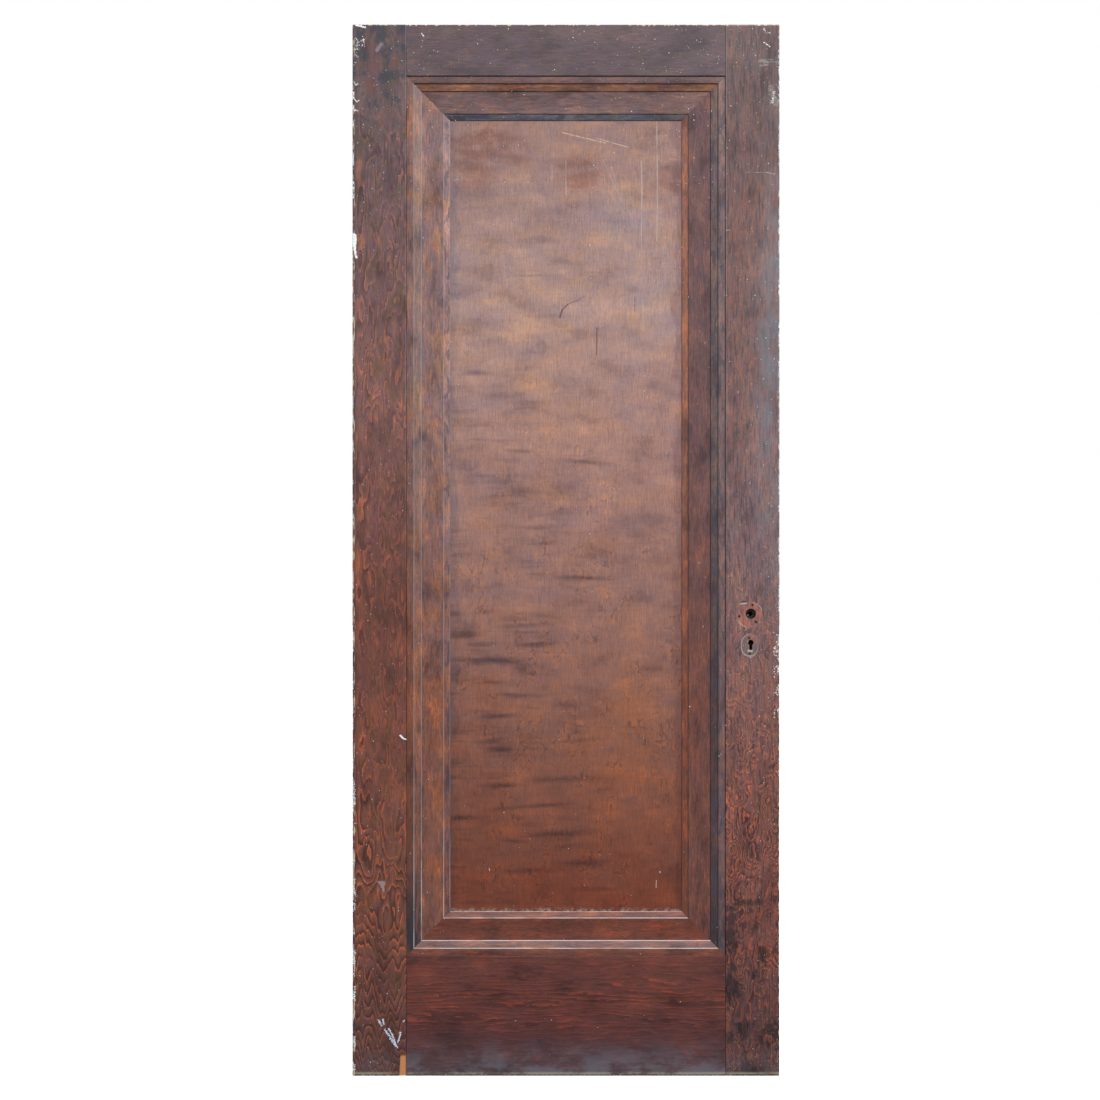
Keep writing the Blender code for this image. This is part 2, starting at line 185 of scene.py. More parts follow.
# Strokes of paint on the front, in millimetres: half width, points of (x, height above the foot)
EDGE_STROKES = (
    (2.8, ((3.2, 10), (3.4, 300), (2.8, 560))), (0.8, ((0.8, 560), (1, 1100), (0.8, 1600))),
    (1.2, ((1.6, 1880), (1.4, 1650))),
    (0.8, ((RIGHT_EDGE - 0.8, 20), (RIGHT_EDGE - 0.8, 900), (RIGHT_EDGE - 0.8, 1980))),
    (4.5, ((RIGHT_EDGE - 7, 850), (RIGHT_EDGE - 6, 680))),
)
SPLASHES = (
    (3.5, ((5.5, 1975), (11, 1965), (7.5, 1950))), (3, ((16, 1968), (23, 1972), (20, 1958))),
    (3, ((3, 1944), (10, 1936), (4, 1920))), (1, ((2, 1893), (7, 1884), (11, 1888))),
    (0.8, ((1.5, 1862), (8, 1852), (13.5, 1856))), (0.8, ((2, 1830), (5, 1838), (12, 1834))),
    (1.2, ((123, 1982), (130, 1986), (136, 1976))), (3, ((780, 1992), (792, 1984), (800, 1987))),
    (0.8, ((783, 1966), (798, 1955), (808, 1951))), (3, ((804, 1885), (798, 1850))),
)
THICK_STROKES = (
    (2, ((2.6, 1601), (2.8, 1588), (4, 1572))), (2, ((4, 1600), (3.6, 1588), (5.2, 1576))),
    (1.4, ((6, 1600), (6.2, 1592), (6, 1583))), (1.2, ((4.6, 1574), (6.2, 1562), (8, 1556))),
    (1.2, ((8, 1998), (17, 1996), (25, 1994))), (1, ((91, 648), (97, 641), (102, 640))),
)
TICKS = (
    (0.2, ((579, 370), (578.5, 356))), (0.2, ((260, 392), (260.6, 388))),
    (0.3, ((586, 386), (586.6, 384))),
)
SMEARS = (
    (1.3, ((98.4, 106.2), (92, 83), (87, 64))), (2, ((49, 106.2), (64, 85), (85.1, 53))),
    (1.4, ((66, 97), (76, 78), (83.5, 56.8))), (1.2, ((58, 108), (62, 90))),
)


# Colours


def tint(red, green, blue):
    """A colour as it looks on a screen, 0 to 255, made linear."""
    values = []
    for value in (red, green, blue):
        share = value / 255
        values.append(share / 12.92 if share <= 0.04045 else ((share + 0.055) / 1.055) ** 2.4)
    return (*values, 1.0)


DUST = tint(102, 99, 108)
BARE_WOOD = tint(196, 168, 128)
FRESH_WOOD = tint(216, 152, 98)
WHITE_PAINT = tint(236, 238, 236)
OLD_PAINT = tint(202, 188, 160)
# Blue-grey varnish haze with painted sky sheen, on the lock stile's upper part
BLUE_HAZE_AND_SHEEN = tint(112, 120, 128)
# Painted shade in and beside the lock's holes
HOLE_SHADE = tint(26, 20, 18)
GHOST_RIM = tint(168, 152, 138)
DRIP = tint(176, 158, 146)
BRUISE = tint(84, 46, 42)
FRINGE = tint(176, 150, 132)  # dust caught where the panel meets the lower moulding
FOOT_LINE = tint(158, 150, 122)
FOOT_SOOT = tint(36, 36, 46)
HEAD_SOOT = tint(50, 50, 60)
HEAD_RUST = tint(112, 62, 46)
EDGE_GRIME = tint(52, 46, 54)
BLOT = tint(56, 56, 70)
# Painted highlights along the stiles' inner arrises
COOL_ARRIS_HIGHLIGHT = tint(126, 124, 132)
WARM_ARRIS_HIGHLIGHT = tint(140, 118, 116)
TORN_WOOD = tint(178, 112, 72)
BLUE_RUB = tint(168, 176, 180)
GREY_SMUDGE = tint(148, 152, 148)
PALE_MAUVE = tint(156, 138, 142)
PALE_STRIP = tint(200, 184, 164)
IRON = tint(70, 66, 64)
RUST = tint(92, 62, 48)
# A painted glint on the lock hub, beside the spindle hole
PAINTED_GLINT = tint(236, 226, 204)  # a pale speck beside the spindle hole
SOILED_PAINT = tint(190, 190, 188)
BLUE_PAINT = tint(204, 210, 224)
SOILED_BLUE = tint(150, 152, 168)
FLOOR_PAINT = tint(250, 250, 250)


# What a part of the figure does to the brown below it
DARKER = (0.42, 0.36, 0.42, 1.0)
BRIGHTER = (2.00, 1.80, 1.35, 1.0)
OLIVE = (0.84, 0.90, 0.70, 1.0)
MAUVE = (0.92, 0.90, 1.08, 1.0)
RUSTY = (1.48, 1.14, 0.82, 1.0)
FIERY = (1.52, 1.05, 0.82, 1.0)
WARM = (1.14, 1.04, 0.82, 1.0)
COOL = (0.90, 0.95, 1.08, 1.0)
GILDED = (1.32, 1.12, 0.74, 1.0)
SOOTY = (0.28, 0.30, 0.42, 1.0)
SMUDGE = (0.30, 0.30, 0.44, 1.0)
REDDISH = (0.82, 0.64, 0.56, 1.0)
GOLDEN = (1.14, 1.10, 0.96, 1.0)
# Painted sky sheen on the varnish, greyer and bluer
GREYISH_SHEEN = (0.94, 1.08, 1.22, 1.0)
BLUISH = (0.76, 0.82, 0.92, 1.0)
SHADED = (0.74, 0.68, 0.74, 1.0)


@dataclass
class Wood:
    """The figure of one stained and varnished length. Lengths are in metres."""
    along: str
    seed: float
    figure: float = 0.9       # strength of the growth lines
    streak: float = 0.3       # strength of the short streaks along the grain
    hues: float = 1.0         # strength of the olive and mauve patches
    cloud: float = 0.8        # strength of the broad dark and light patches
    cloud_size: tuple = (0.04, 0.09)
    fibre: float = 0.5
    wander: tuple = (0.034, 0.075, 10.0)   # the lines' wander: its size across, along, and in rings
    curl: tuple = (0.009, 0.020, 1.3)      # the small curls on it
    flame: float = 0.007      # how long the teeth are where the lines turn over


HINGE_WOOD = Wood("Z", 1.3, figure=1.3, cloud=0.6, fibre=0.3, wander=(0.030, 0.10, 9.0),
                  curl=(0.009, 0.028, 1.4), flame=0.010)
LOCK_WOOD = Wood("Z", 6.1, figure=1.5, wander=(0.034, 0.055, 12.0), curl=(0.008, 0.014, 1.5), cloud=0.65,
                 streak=0.8, hues=0.4, fibre=0.35)
TOP_WOOD = Wood("X", 11.2, figure=0.3, wander=(0.016, 0.16, 4.0), cloud=0.6, fibre=0.35, hues=0.5)
BOTTOM_WOOD = Wood("X", 15.7, figure=0.9, wander=(0.02, 0.14, 3.5), curl=(0.005, 0.02, 0.8),
                   cloud=0.8, fibre=0.3, flame=0.004, hues=0.5)
PANEL_WOOD = Wood("Z", 21.4, figure=0.0, cloud=0.4, cloud_size=(0.08, 0.04), streak=0.10,
                  hues=0.0, fibre=0.30)

# The brown of each piece, 0 to 255, by height above the foot; paler and greyer towards the head, partly
# faded varnish and partly painted sky sheen, which also greys the whole top rail
HINGE_BROWN = ((0.02, (88, 56, 52)), (0.33, (114, 69, 54)), (0.90, (107, 62, 50)),
               (1.28, (118, 81, 76)), (1.66, (105, 79, 79)), (1.93, (88, 73, 76)))
LOCK_BROWN = ((0.02, (84, 56, 55)), (0.21, (98, 63, 59)), (0.38, (118, 76, 69)),
              (0.58, (113, 77, 72)), (1.01, (114, 94, 98)), (1.30, (111, 86, 85)),
              (1.66, (103, 79, 77)), (1.93, (89, 74, 76)))
TOP_BROWN = ((0.0, (88, 71, 75)), (2.0, (86, 71, 76)))
BOTTOM_BROWN = ((0.0, (76, 52, 56)), (0.06, (78, 42, 44)), (0.14, (97, 48, 40)),
                (0.23, (97, 51, 45)))
PANEL_BROWN = ((0.34, (112, 54, 32)), (0.62, (129, 81, 64)), (0.90, (142, 102, 91)),
               (1.19, (154, 117, 107)), (1.48, (157, 128, 120)), (1.80, (139, 109, 102)))


# The triangular smudge on the hinge stile
TRIANGLE_TIP = (0.0605, 0.347)
TRIANGLE_HEIGHT = 0.024
TRIANGLE_LEAN = -0.005
TRIANGLE_HALF_WIDTH = 0.009

DUST_TOP = 0.085
OLD_STRIP_X = 0.0036  # the strip of old paint beside the hinge edge
INNER_LINE_WIDTH = 0.0014
HEAD_ZONE = (1.76, 1.88)
UPPER_HALF = (0.9, 1.3)
STRAIGHT_WIDTH = 0.045  # of the hinge stile's outer part, where the rings run straight
STRAIGHT_RATE = 0.00054  # square metres for each ring there
RIDGE_TOP = 0.33
RIDGE_PITCH = 0.024
RIDGE_PEAKS = 7.0  # how far the ridges rise, in rings
LOCK_RING = 0.02
RAIL_RING = 0.009
MOULDING_RING = 0.014
RAIL_FIGURE_HEIGHT = 0.135  # where the bottom rail's figure is clearest
# Where the varnish haze with painted sky sheen lies on the lock stile
HAZE_AND_SHEEN_PLACE = (WIDTH + 0.01, 1.35, 0.085, 0.65)  # middle x and height, half width, half height
CONTOURS = 12.0  # contour lines for each unit of noise
CONTOUR_TEETH = 0.010
SIDE_BAND = (0.020, 0.008)  # where the bands beside the panel's mouldings end and begin
BAND_WAVE = 0.008

# The ghosts and holes of the lock
GHOST_X = KNOB_X - 0.002
ROSE_HEIGHT = KNOB_HEIGHT - 0.002
PLATE_MIDDLE = KEY_HEIGHT - 0.005
ROSY_WOOD = (tint(100, 76, 84), tint(184, 106, 78))
GREY_WOOD = (tint(94, 88, 92), tint(116, 98, 98))
FACE_DEPTH = 0.001  # what lies deeper than this isn't the front face
HOLE_DEPTH = 0.0012
PIN_HOLE_REACH = 0.004
LOCK_REACH = (0.06, 0.12)
GLINT_REACH = 0.002

# Pale smudges and drips on the stiles, and the panel's drips, scratches and bruises, in millimetres:
# start, end, half width, strength
STILE_SMUDGES = (((47, 1951), (55, 1962), 5, 0.45),)
STRIP_SMUDGES = (
    ((2.4, 430), (2.2, 335), 2, 0.7), ((2.4, 530), (2.2, 500), 1.6, 0.6),
    ((2.4, 250), (2.2, 225), 1.6, 0.6),
)
LOCK_SMUDGES = (
    ((778, 1927), (804, 1930), 9, 0.5), ((795, 1882), (806, 1850), 8, 0.35),
    ((771, 727), (784, 742), 2.2, 0.25), ((772, 735), (779, 743), 1.6, 0.25),
)
LOCK_DRIPS = (((750, 1718.7), (790, 1718.2), 0.8, 1.0), ((788, 1718.7), (803, 1715), 1.2, 1.0))
PANEL_DRIPS = (
    ((550.5, 1742), (551.5, 1680), 2, 0.6), ((551.5, 1680), (550.5, 1600), 1.8, 0.6),
    ((550.5, 1600), (554, 1418), 1.6, 0.4), ((580, 1818), (581.2, 1700), 1.7, 0.6),
    ((581.2, 1700), (580, 1590), 1.7, 0.6), ((406.5, 1742), (406.5, 1679), 1.6, 0.5),
    ((380, 1735), (380, 1695), 1.4, 0.35), ((478.7, 1742), (513, 1665.8), 1.2, 0.4),
    ((464, 1735), (506, 1656), 1, 0.3), ((493, 1730), (519, 1655), 1, 0.3),
)
PANEL_SCRATCHES = (
    ((398.9, 1797), (482, 1777), 1.6, 0.7), ((465, 1786), (526.3, 1768.5), 1.3, 0.7),
)
PANEL_BRUISES = (
    ((395.1, 1443.8), (399, 1458), 2, 0.85), ((399, 1458), (410, 1469), 1.7, 0.8),
    ((410, 1469), (429, 1477), 1.6, 0.45), ((429, 1477), (443, 1485), 1.6, 0.35),
    ((465.4, 1424.3), (465.4, 1372.9), 1.4, 0.8), ((538, 1485), (538, 1456), 1.2, 0.6),
)
# Marks round the lock's holes, in millimetres: start, end, half width, colour, strength; the dark one
# above the pale gouge is a painted shadow
LOCK_MARKS = (
    ((738.5, 897.5), (750, 899), 1.4, tint(198, 192, 192), 0.8),
    ((741.5, 902.5), (749.5, 902.2), 1.3, HOLE_SHADE, 0.8),
    ((754.5, 808.5), (759, 808.5), 4, tint(176, 174, 150), 0.8),
    ((754, 830), (754, 813), 1, tint(188, 96, 52), 0.8),
    ((752.5, 827), (752.5, 824), 1, tint(190, 172, 142), 0.7),
)
# Broad patches of the panel: middle x and height, half width, half height, all in millimetres,
# what the patch does to the brown below it, and its strength; the greyish ones are painted sky sheen
PANEL_PATCHES = (
    (262, 1772, 120, 50, REDDISH, 0.9), (235, 1712, 80, 36, REDDISH, 0.7),
    (432, 1724, 85, 50, REDDISH, 0.9), (612, 1706, 45, 85, REDDISH, 0.8),
    (568, 1768, 75, 55, GOLDEN, 0.9), (390, 1765, 80, 40, GOLDEN, 0.7),
    (325, 1690, 40, 80, GOLDEN, 0.7), (510, 1640, 70, 80, GREYISH_SHEEN, 0.8),
    (570, 1500, 80, 200, GREYISH_SHEEN, 0.35), (330, 1400, 140, 180, GOLDEN, 0.6),
    (340, 1120, 150, 80, SMUDGE, 0.22), (222, 1780, 60, 50, SHADED, 0.5),
    (600, 1330, 60, 100, SHADED, 0.5), (430, 1220, 110, 90, GOLDEN, 1.0),
    (530, 1010, 130, 80, SHADED, 0.6), (520, 640, 110, 200, WARM, 0.9),
    (510, 480, 90, 90, GOLDEN, 1.0), (240, 620, 80, 240, REDDISH, 0.4),
    (370, 370, 80, 50, REDDISH, 0.4),
)
# Dark smudges: middle x and height, half length, half height, rise over the half length, all in
# millimetres, and strength
PANEL_SMUDGES = (
    (438, 947, 44, 6, -1, 1.0), (253, 882, 24, 6, 2, 0.5), (328, 856, 46, 6, 4, 0.6),
    (357, 821, 38, 4.5, 2, 0.6), (281, 791, 40, 7.5, 1, 0.9), (321, 772, 13, 11, 0, 0.7),
    (218, 844, 22, 20, 0, 0.7), (197, 762, 18, 20, 0, 0.6), (300, 724, 24, 5, -2, 0.6),
    (275, 683, 36, 6, 2, 1.0), (408, 705, 32, 13, 0, 0.6), (281, 620, 28, 6.5, 0, 1.0),
    (433, 637, 42, 6, 3, 0.5), (281, 551, 34, 6.5, 1, 1.0), (399, 563, 58, 8, 2, 0.8),
    (370, 513, 42, 5, 3, 0.8), (218, 490, 28, 5, -1, 0.8), (295, 507, 32, 5, 3, 0.5),
    (414, 460, 58, 8.5, 4, 0.7), (304, 445, 24, 5, -2, 0.8), (347, 388, 64, 8.5, 3, 0.7),
    (443, 403, 52, 8.5, 2, 0.9), (480, 353, 32, 5, 0, 0.5), (443, 1168, 44, 5.5, -5, 0.8),
    (323, 1189, 28, 5, -2, 0.6), (237, 1339, 24, 6, -2, 0.6), (357, 1591, 30, 9.5, 0, 0.6),
    (340, 1524, 32, 4, 0, 0.5), (367, 1447, 40, 6, 2, 0.4), (323, 1110, 26, 15, 0, 0.6),
    (210, 1166, 22, 18, 0, 0.6), (235, 1680, 40, 18, 3, 0.5),
)
# Screws and pins of the lost rose and key plate: (across, up) from the knob hole and the keyhole
ROSE_SCREWS = ((0.0032, 0.0167), (-0.0217, -0.0048), (0.0097, -0.0156))
PLATE_PINS = ((-0.0029, 0.0089), (-0.0017, -0.0202))

# Where the moulding's faces meet, measured across from the stile
FACES = (FILLET_WIDTH, FILLET_WIDTH + SLOPE_WIDTH, FILLET_WIDTH + SLOPE_WIDTH + COVE_WIDTH)
# The strips of the mouldings' width that have blue-black blots
BLOTTED = {"left": (FACES[2], MOULDING_WIDTH), "right": (0.0, FACES[1]),
           "top": (FACES[2], MOULDING_WIDTH)}
GOLD_SHARE = {"top": 0.3, "bottom": 0.5, "left": 0.8, "right": 0.3}
# The stain on fillet, slope, cove and bevel, 0 to 255, at the head of the panel and at its foot, with
# painted shade and painted sky sheen laid in by which way each face faces and how high it stands
TOP_TINTS = ((93, 69, 69), (134, 96, 79), (102, 79, 79), (88, 90, 103))
BOTTOM_TINTS = ((113, 65, 50), (122, 86, 77), (102, 50, 33), (122, 78, 66))
MOULDING_TINTS = {
    "top": (TOP_TINTS, TOP_TINTS),
    "bottom": (BOTTOM_TINTS, BOTTOM_TINTS),
    "left": (((121, 90, 84), (125, 100, 93), (123, 97, 96), (142, 112, 109)),
             ((106, 61, 43), (128, 84, 66), (120, 77, 63), (114, 75, 68))),
    "right": (((110, 90, 92), (98, 83, 84), (96, 69, 70), (138, 92, 74)),
              ((106, 83, 85), (78, 58, 60), (106, 65, 56), (115, 64, 45))),
}
# Colour, strength and half width of the lines where the faces meet: painted shadow at the top and right,
# painted highlight on the left, and pale dust with painted highlight at the bottom
STEP_SHADE_AND_HIGHLIGHTS = {
    "top": (tint(30, 28, 34), 0.9, 0.0011),
    "bottom": (tint(206, 206, 206), 0.85, 0.0009),
    "left": (tint(142, 148, 158), 0.75, 0.0009),
    "right": (tint(34, 26, 28), 0.9, 0.0012),
}


# Meshes


def metres(*values):
    return [value * MM for value in values]


def link(name, mesh):
    made = bpy.data.objects.new(name, mesh)
    bpy.context.scene.collection.objects.link(made)
    return made


def rectangle(name, corners):
    mesh = bpy.data.meshes.new(name)
    mesh.from_pydata(corners, [], [(0, 1, 2, 3)])
    return link(name, mesh)


def evaluated_mesh(source):
    """The source's mesh with its modifiers applied, as a mesh of its own."""
    graph = bpy.context.evaluated_depsgraph_get()
    return bpy.data.meshes.new_from_object(source.evaluated_get(graph), depsgraph=graph)


def tidy_mesh(mesh, merge=0.0):
    """Merge the mesh's doubles where asked, and turn its faces outward."""
    bm = bmesh.new()
    bm.from_mesh(mesh)
    if merge:
        bmesh.ops.remove_doubles(bm, verts=bm.verts, dist=merge)
    bmesh.ops.recalc_face_normals(bm, faces=bm.faces)
    bm.to_mesh(mesh)
    bm.free()


def shade(mesh, degrees=SMOOTH_ANGLE):
    mesh.shade_smooth()
    mesh.set_sharp_from_angle(angle=math.radians(degrees))


def merged_copy(node):
    """A CAD node's solid as one welded mesh."""
    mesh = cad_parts[node].data.copy()
    tidy_mesh(mesh, merge=WELD_DISTANCE)
    return link(node + "_solid", mesh)


def boolean(piece, other, operation):
    change = piece.modifiers.new(other.name, "BOOLEAN")
    change.operation = operation
    change.solver = "EXACT"
    change.object = other


# Worn boards


def wear_noise(place, size, seed):
    """Smooth noise from 0 to 1, with features of the given size."""
    return 0.5 + 0.5 * noise.noise(Vector((place / size, seed * 7.31, seed * 1.97)))


def arris_radius(place, seed, least, most):
    """Radius of a worn edge: a little wear all along, and deeper knocks here and there."""
    broad = wear_noise(place, BROAD_WEAR_SIZE, seed)
    rough = wear_noise(place, ROUGH_WEAR_SIZE, seed + 3)
    knock = max(0.0, wear_noise(place, KNOCK_SIZE, seed + 9) - KNOCK_START) / (1 - KNOCK_START)
    shares = zip(WEAR_SHARES, (broad, rough, knock))
    return least + most * sum(share * wear for share, wear in shares)


def stations(start, end):
    """Places along a board, closer together at both ends."""
    count = round((end - start) / STATION_SPACING)
    inner = [start + (end - start) * i / count for i in range(1, count)]
    return [start + d for d in END_STATIONS] + inner + [end - d for d in reversed(END_STATIONS)]


def quarter(radius, corner, from_edge):
    """Points of a rounded corner: corner is its sharp place, from_edge the signs that lead inside."""
    points = []
    for i in range(ARRIS_STEPS + 1):
        turn = math.pi / 2 * i / ARRIS_STEPS
        across = corner[0] + from_edge[0] * radius * (1 - math.sin(turn))
        deep = corner[1] + from_edge[1] * radius * (1 - math.cos(turn))
        points.append((across, deep))
    return points


def board_section(place, start, end, outer, inner, seed):
    """(across, depth) points round a worn board at one place along it."""
    out = math.copysign(1.0, inner - outer)
    from_end = min(place - start, end - place)
    end_loss = END_WEAR * wear_noise(place + outer, END_WEAR_SIZE, seed + 5)
    end_loss *= max(0.0, 1 - from_end / END_WEAR_REACH)
    edge = outer + out * (SKIN + end_loss)
    face = FRONT + SKIN + end_loss
    back = BACK - SKIN - end_loss
    soft = inner - out * SKIN
    inner_margin = INNER_ARRIS + INNER_WEAR + CORNER_MARGIN
    outer_front = arris_radius(place, seed, OUTER_ARRIS, OUTER_WEAR)
    outer_back = arris_radius(place, seed + 20, OUTER_ARRIS, OUTER_WEAR)
    inner_front = arris_radius(place, seed + 40, INNER_ARRIS, INNER_WEAR)
    points = quarter(outer_front, (edge, face), (out, 1))[::-1]
    points.append((edge + out * (outer_front + CORNER_MARGIN), face))
    points.append((soft - out * inner_margin, face))
    points += quarter(inner_front, (soft, face), (-out, 1))
    points += quarter(INNER_ARRIS, (soft, back), (-out, -1))[::-1]
    points.append((soft - out * inner_margin, back))
    points.append((edge + out * (outer_back + CORNER_MARGIN), back))
    points += quarter(outer_back, (edge, back), (out, -1))
    return points


def swept_board(name, along, start, end, outer, inner, seed):
    """A worn board along X or Z, between its outer edge and the panel opening."""
    bm = bmesh.new()
    rings = []
    for place in stations(start, end):
        ring = []
        for across, deep in board_section(place, start, end, outer, inner, seed):
            point = (across, deep, place) if along == "Z" else (place, deep, across)
            ring.append(bm.verts.new(point))
        rings.append(ring)
    count = len(rings[0])
    for ring, after in zip(rings, rings[1:]):
        for i in range(count):
            j = (i + 1) % count
            bm.faces.new((ring[i], ring[j], after[j], after[i]))
    bm.faces.new(rings[0])
    bm.faces.new(rings[-1])
    bmesh.ops.recalc_face_normals(bm, faces=bm.faces)
    mesh = bpy.data.meshes.new(name)
    bm.to_mesh(mesh)
    bm.free()
    return link(name, mesh)


def worn_board(node, along, outer, inner, seed):
    """The worn board that stands for a stile or rail: a sweep cut to the solid's joints and holes."""
    low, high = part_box(node)
    start, end = (low.z, high.z) if along == "Z" else (low.x, high.x)
    slack = SKIN if along == "Z" else -TENON_SPARE
    rough = swept_board("rough_" + node, along, start + slack, end - slack, outer, inner, seed)
    solid = merged_copy(node)
    boolean(rough, solid, "INTERSECT")
    mesh = evaluated_mesh(rough)
    shade(mesh)
    for polygon in mesh.polygons:
        polygon.use_smooth = max(abs(value) for value in polygon.normal) < FLAT_NORMAL
    piece = link("worn_" + node, mesh)
    bpy.data.objects.remove(rough)
    bpy.data.objects.remove(solid)
    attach(piece, "root")
    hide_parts(node)
    return piece

# Node trees


class Output:
    """An output of a node. Outputs that are numbers can stand in plain sums."""

    def __init__(self, tree, socket):
        self.tree = tree
        self.socket = socket

    def work(self, operation, other=0.0):
        return self.tree.math(operation, self, other)

    __add__ = partialmethod(work, "ADD")
    __sub__ = partialmethod(work, "SUBTRACT")
    __mul__ = partialmethod(work, "MULTIPLY")
    __truediv__ = partialmethod(work, "DIVIDE")
    __pow__ = partialmethod(work, "POWER")
    __abs__ = partialmethod(work, "ABSOLUTE")
    __lt__ = partialmethod(work, "LESS_THAN")
    __gt__ = partialmethod(work, "GREATER_THAN")
    at_least = partialmethod(work, "MAXIMUM")
    at_most = partialmethod(work, "MINIMUM")

    def __rsub__(self, other):
        return self.tree.math("SUBTRACT", other, self)

    def ease(self, start, end, low=0.0, high=1.0):
        """The value mapped smoothly from start..end to low..high, and held outside."""
        inputs = {0: self, 1: start, 2: end, 3: low, 4: high}
        return self.tree.use("ShaderNodeMapRange", inputs, interpolation_type="SMOOTHSTEP")


class Tree:
    """A node tree, with calls that add a node, feed its inputs and give its outputs."""

    def __init__(self, tree):
        self.tree = tree

    def add(self, kind, inputs=None, **settings):
        made = self.tree.nodes.new(kind)
        for key, value in settings.items():
            setattr(made, key, value)
        for key, value in (inputs or {}).items():
            if isinstance(value, Output):
                self.tree.links.new(value.socket, made.inputs[key])
            else:
                made.inputs[key].default_value = value
        return made

    def use(self, kind, inputs=None, output=0, **settings):
        """Add a node and give one of its outputs."""
        return Output(self, self.add(kind, inputs, **settings).outputs[output])

    def every(self, kind, inputs=None):
        """Add a node and give all its outputs, by name."""
        return {socket.name: Output(self, socket) for socket in self.add(kind, inputs).outputs}

    def math(self, operation, a, b=0.0):
        return self.use("ShaderNodeMath", {0: a, 1: b}, operation=operation)

    def vector(self, operation, a, b=(0.0, 0.0, 0.0), output=0):
        return self.use("ShaderNodeVectorMath", {0: a, 1: b}, output, operation=operation)

    def scaled(self, vector, factor):
        return self.use("ShaderNodeVectorMath", {0: vector, "Scale": factor}, operation="SCALE")

    def join(self, x, y, z=0.0):
        return self.use("ShaderNodeCombineXYZ", {0: x, 1: y, 2: z})

    def split(self, vector):
        return self.every("ShaderNodeSeparateXYZ", {0: vector}).values()

    def noise(self, spot, detail, rough=0.5, scale=1.0):
        inputs = {"Vector": spot, "Scale": scale, "Detail": detail, "Roughness": rough}
        return self.use("ShaderNodeTexNoise", inputs)

    def length(self, across, up):
        return self.vector("LENGTH", self.join(across, up), output="Value")

    def mix(self, amount, a, b, blend="MIX"):
        inputs = {0: amount, 6: a, 7: b}
        return self.use("ShaderNodeMix", inputs, 2, data_type="RGBA", blend_type=blend)

    def ramp(self, value, stops, mode="LINEAR"):
        """A colour ramp over stops of (place, colour)."""
        made = self.add("ShaderNodeValToRGB", {0: value})
        line = made.color_ramp
        line.interpolation = mode
        while len(line.elements) < len(stops):
            line.elements.new(1.0)
        for element, (place, colour) in zip(line.elements, stops):
            element.position = place
            element.color = colour
        return Output(self, made.outputs[0])


class Grower(Tree):
    """A Geometry Nodes group that makes a mesh from inputs that are given by name."""

    def __init__(self, name, inputs):
        super().__init__(bpy.data.node_groups.new(name, "GeometryNodeTree"))
        sockets = self.tree.interface
        sockets.new_socket("Geometry", in_out="OUTPUT", socket_type="NodeSocketGeometry")
        for label, kind in inputs:
            sockets.new_socket(label, in_out="INPUT", socket_type="NodeSocket" + kind)
        self.given = self.every("NodeGroupInput")

    def geometry(self, kind, inputs=None, output=0, **settings):
        return self.use("GeometryNode" + kind, inputs, output, **settings)

    def shape(self, label):
        """The mesh of the object that is given under a name."""
        return self.geometry("ObjectInfo", {"Object": self.given[label]}, "Geometry")

    def store(self, geometry, name, value, kind="FLOAT"):
        inputs = {"Geometry": geometry, "Name": name, "Value": value}
        return self.geometry("StoreNamedAttribute", inputs, data_type=kind)

    def stored(self, name, kind="FLOAT"):
        return self.geometry("InputNamedAttribute", {"Name": name}, data_type=kind)

    def drop(self, points, dropped):
        return self.geometry("DeleteGeometry", {"Geometry": points, "Selection": dropped})

    def is_more(self, a, b):
        return self.use("FunctionNodeCompare", {0: a, 1: b}, operation="GREATER_THAN")

    def random(self, low, high, draw=0.0):
        """A random number at each point, from one of several independent draws."""
        inputs = {2: low, 3: high, "Seed": self.given["Seed"] + draw}
        return self.use("FunctionNodeRandomValue", inputs, 1)

    def finish(self, geometry):
        real = self.geometry("RealizeInstances", {"Geometry": geometry})
        inputs = {"Geometry": real, "Material": self.given["Material"]}
        self.add("NodeGroupOutput", {0: self.geometry("SetMaterial", inputs)})
        return self.tree


def grown_mesh(name, group, values):
    """The plain mesh that a group makes from the given inputs."""
    holder = link(name + "_holder", bpy.data.meshes.new(name))
    change = holder.modifiers.new("grow", "NODES")
    change.node_group = group
    for item in group.interface.items_tree:
        if item.in_out == "INPUT":
            change[item.identifier] = values[item.name]
    mesh = evaluated_mesh(holder)
    mesh.name = name
    bpy.data.objects.remove(holder)
    return mesh


# Mouldings


def eased(points):
    """The closed outline with each outward corner rounded."""
    result = []
    count = len(points)
    for i, corner in enumerate(points):
        corner = Vector(corner)
        back = Vector(points[i - 1]) - corner
        ahead = Vector(points[(i + 1) % count]) - corner
        turn = back.x * ahead.y - back.y * ahead.x
        if turn < SHARP_TURN * back.length * ahead.length:
            result.append(corner)
            continue
        start = corner + back.normalized() * min(EASING, EASING_SHARE * back.length)
        end = corner + ahead.normalized() * min(EASING, EASING_SHARE * ahead.length)
        for step in range(EASING_STEPS + 1):
            t = step / EASING_STEPS
            result.append(start * (1 - t) ** 2 + corner * 2 * t * (1 - t) + end * t ** 2)
    return result


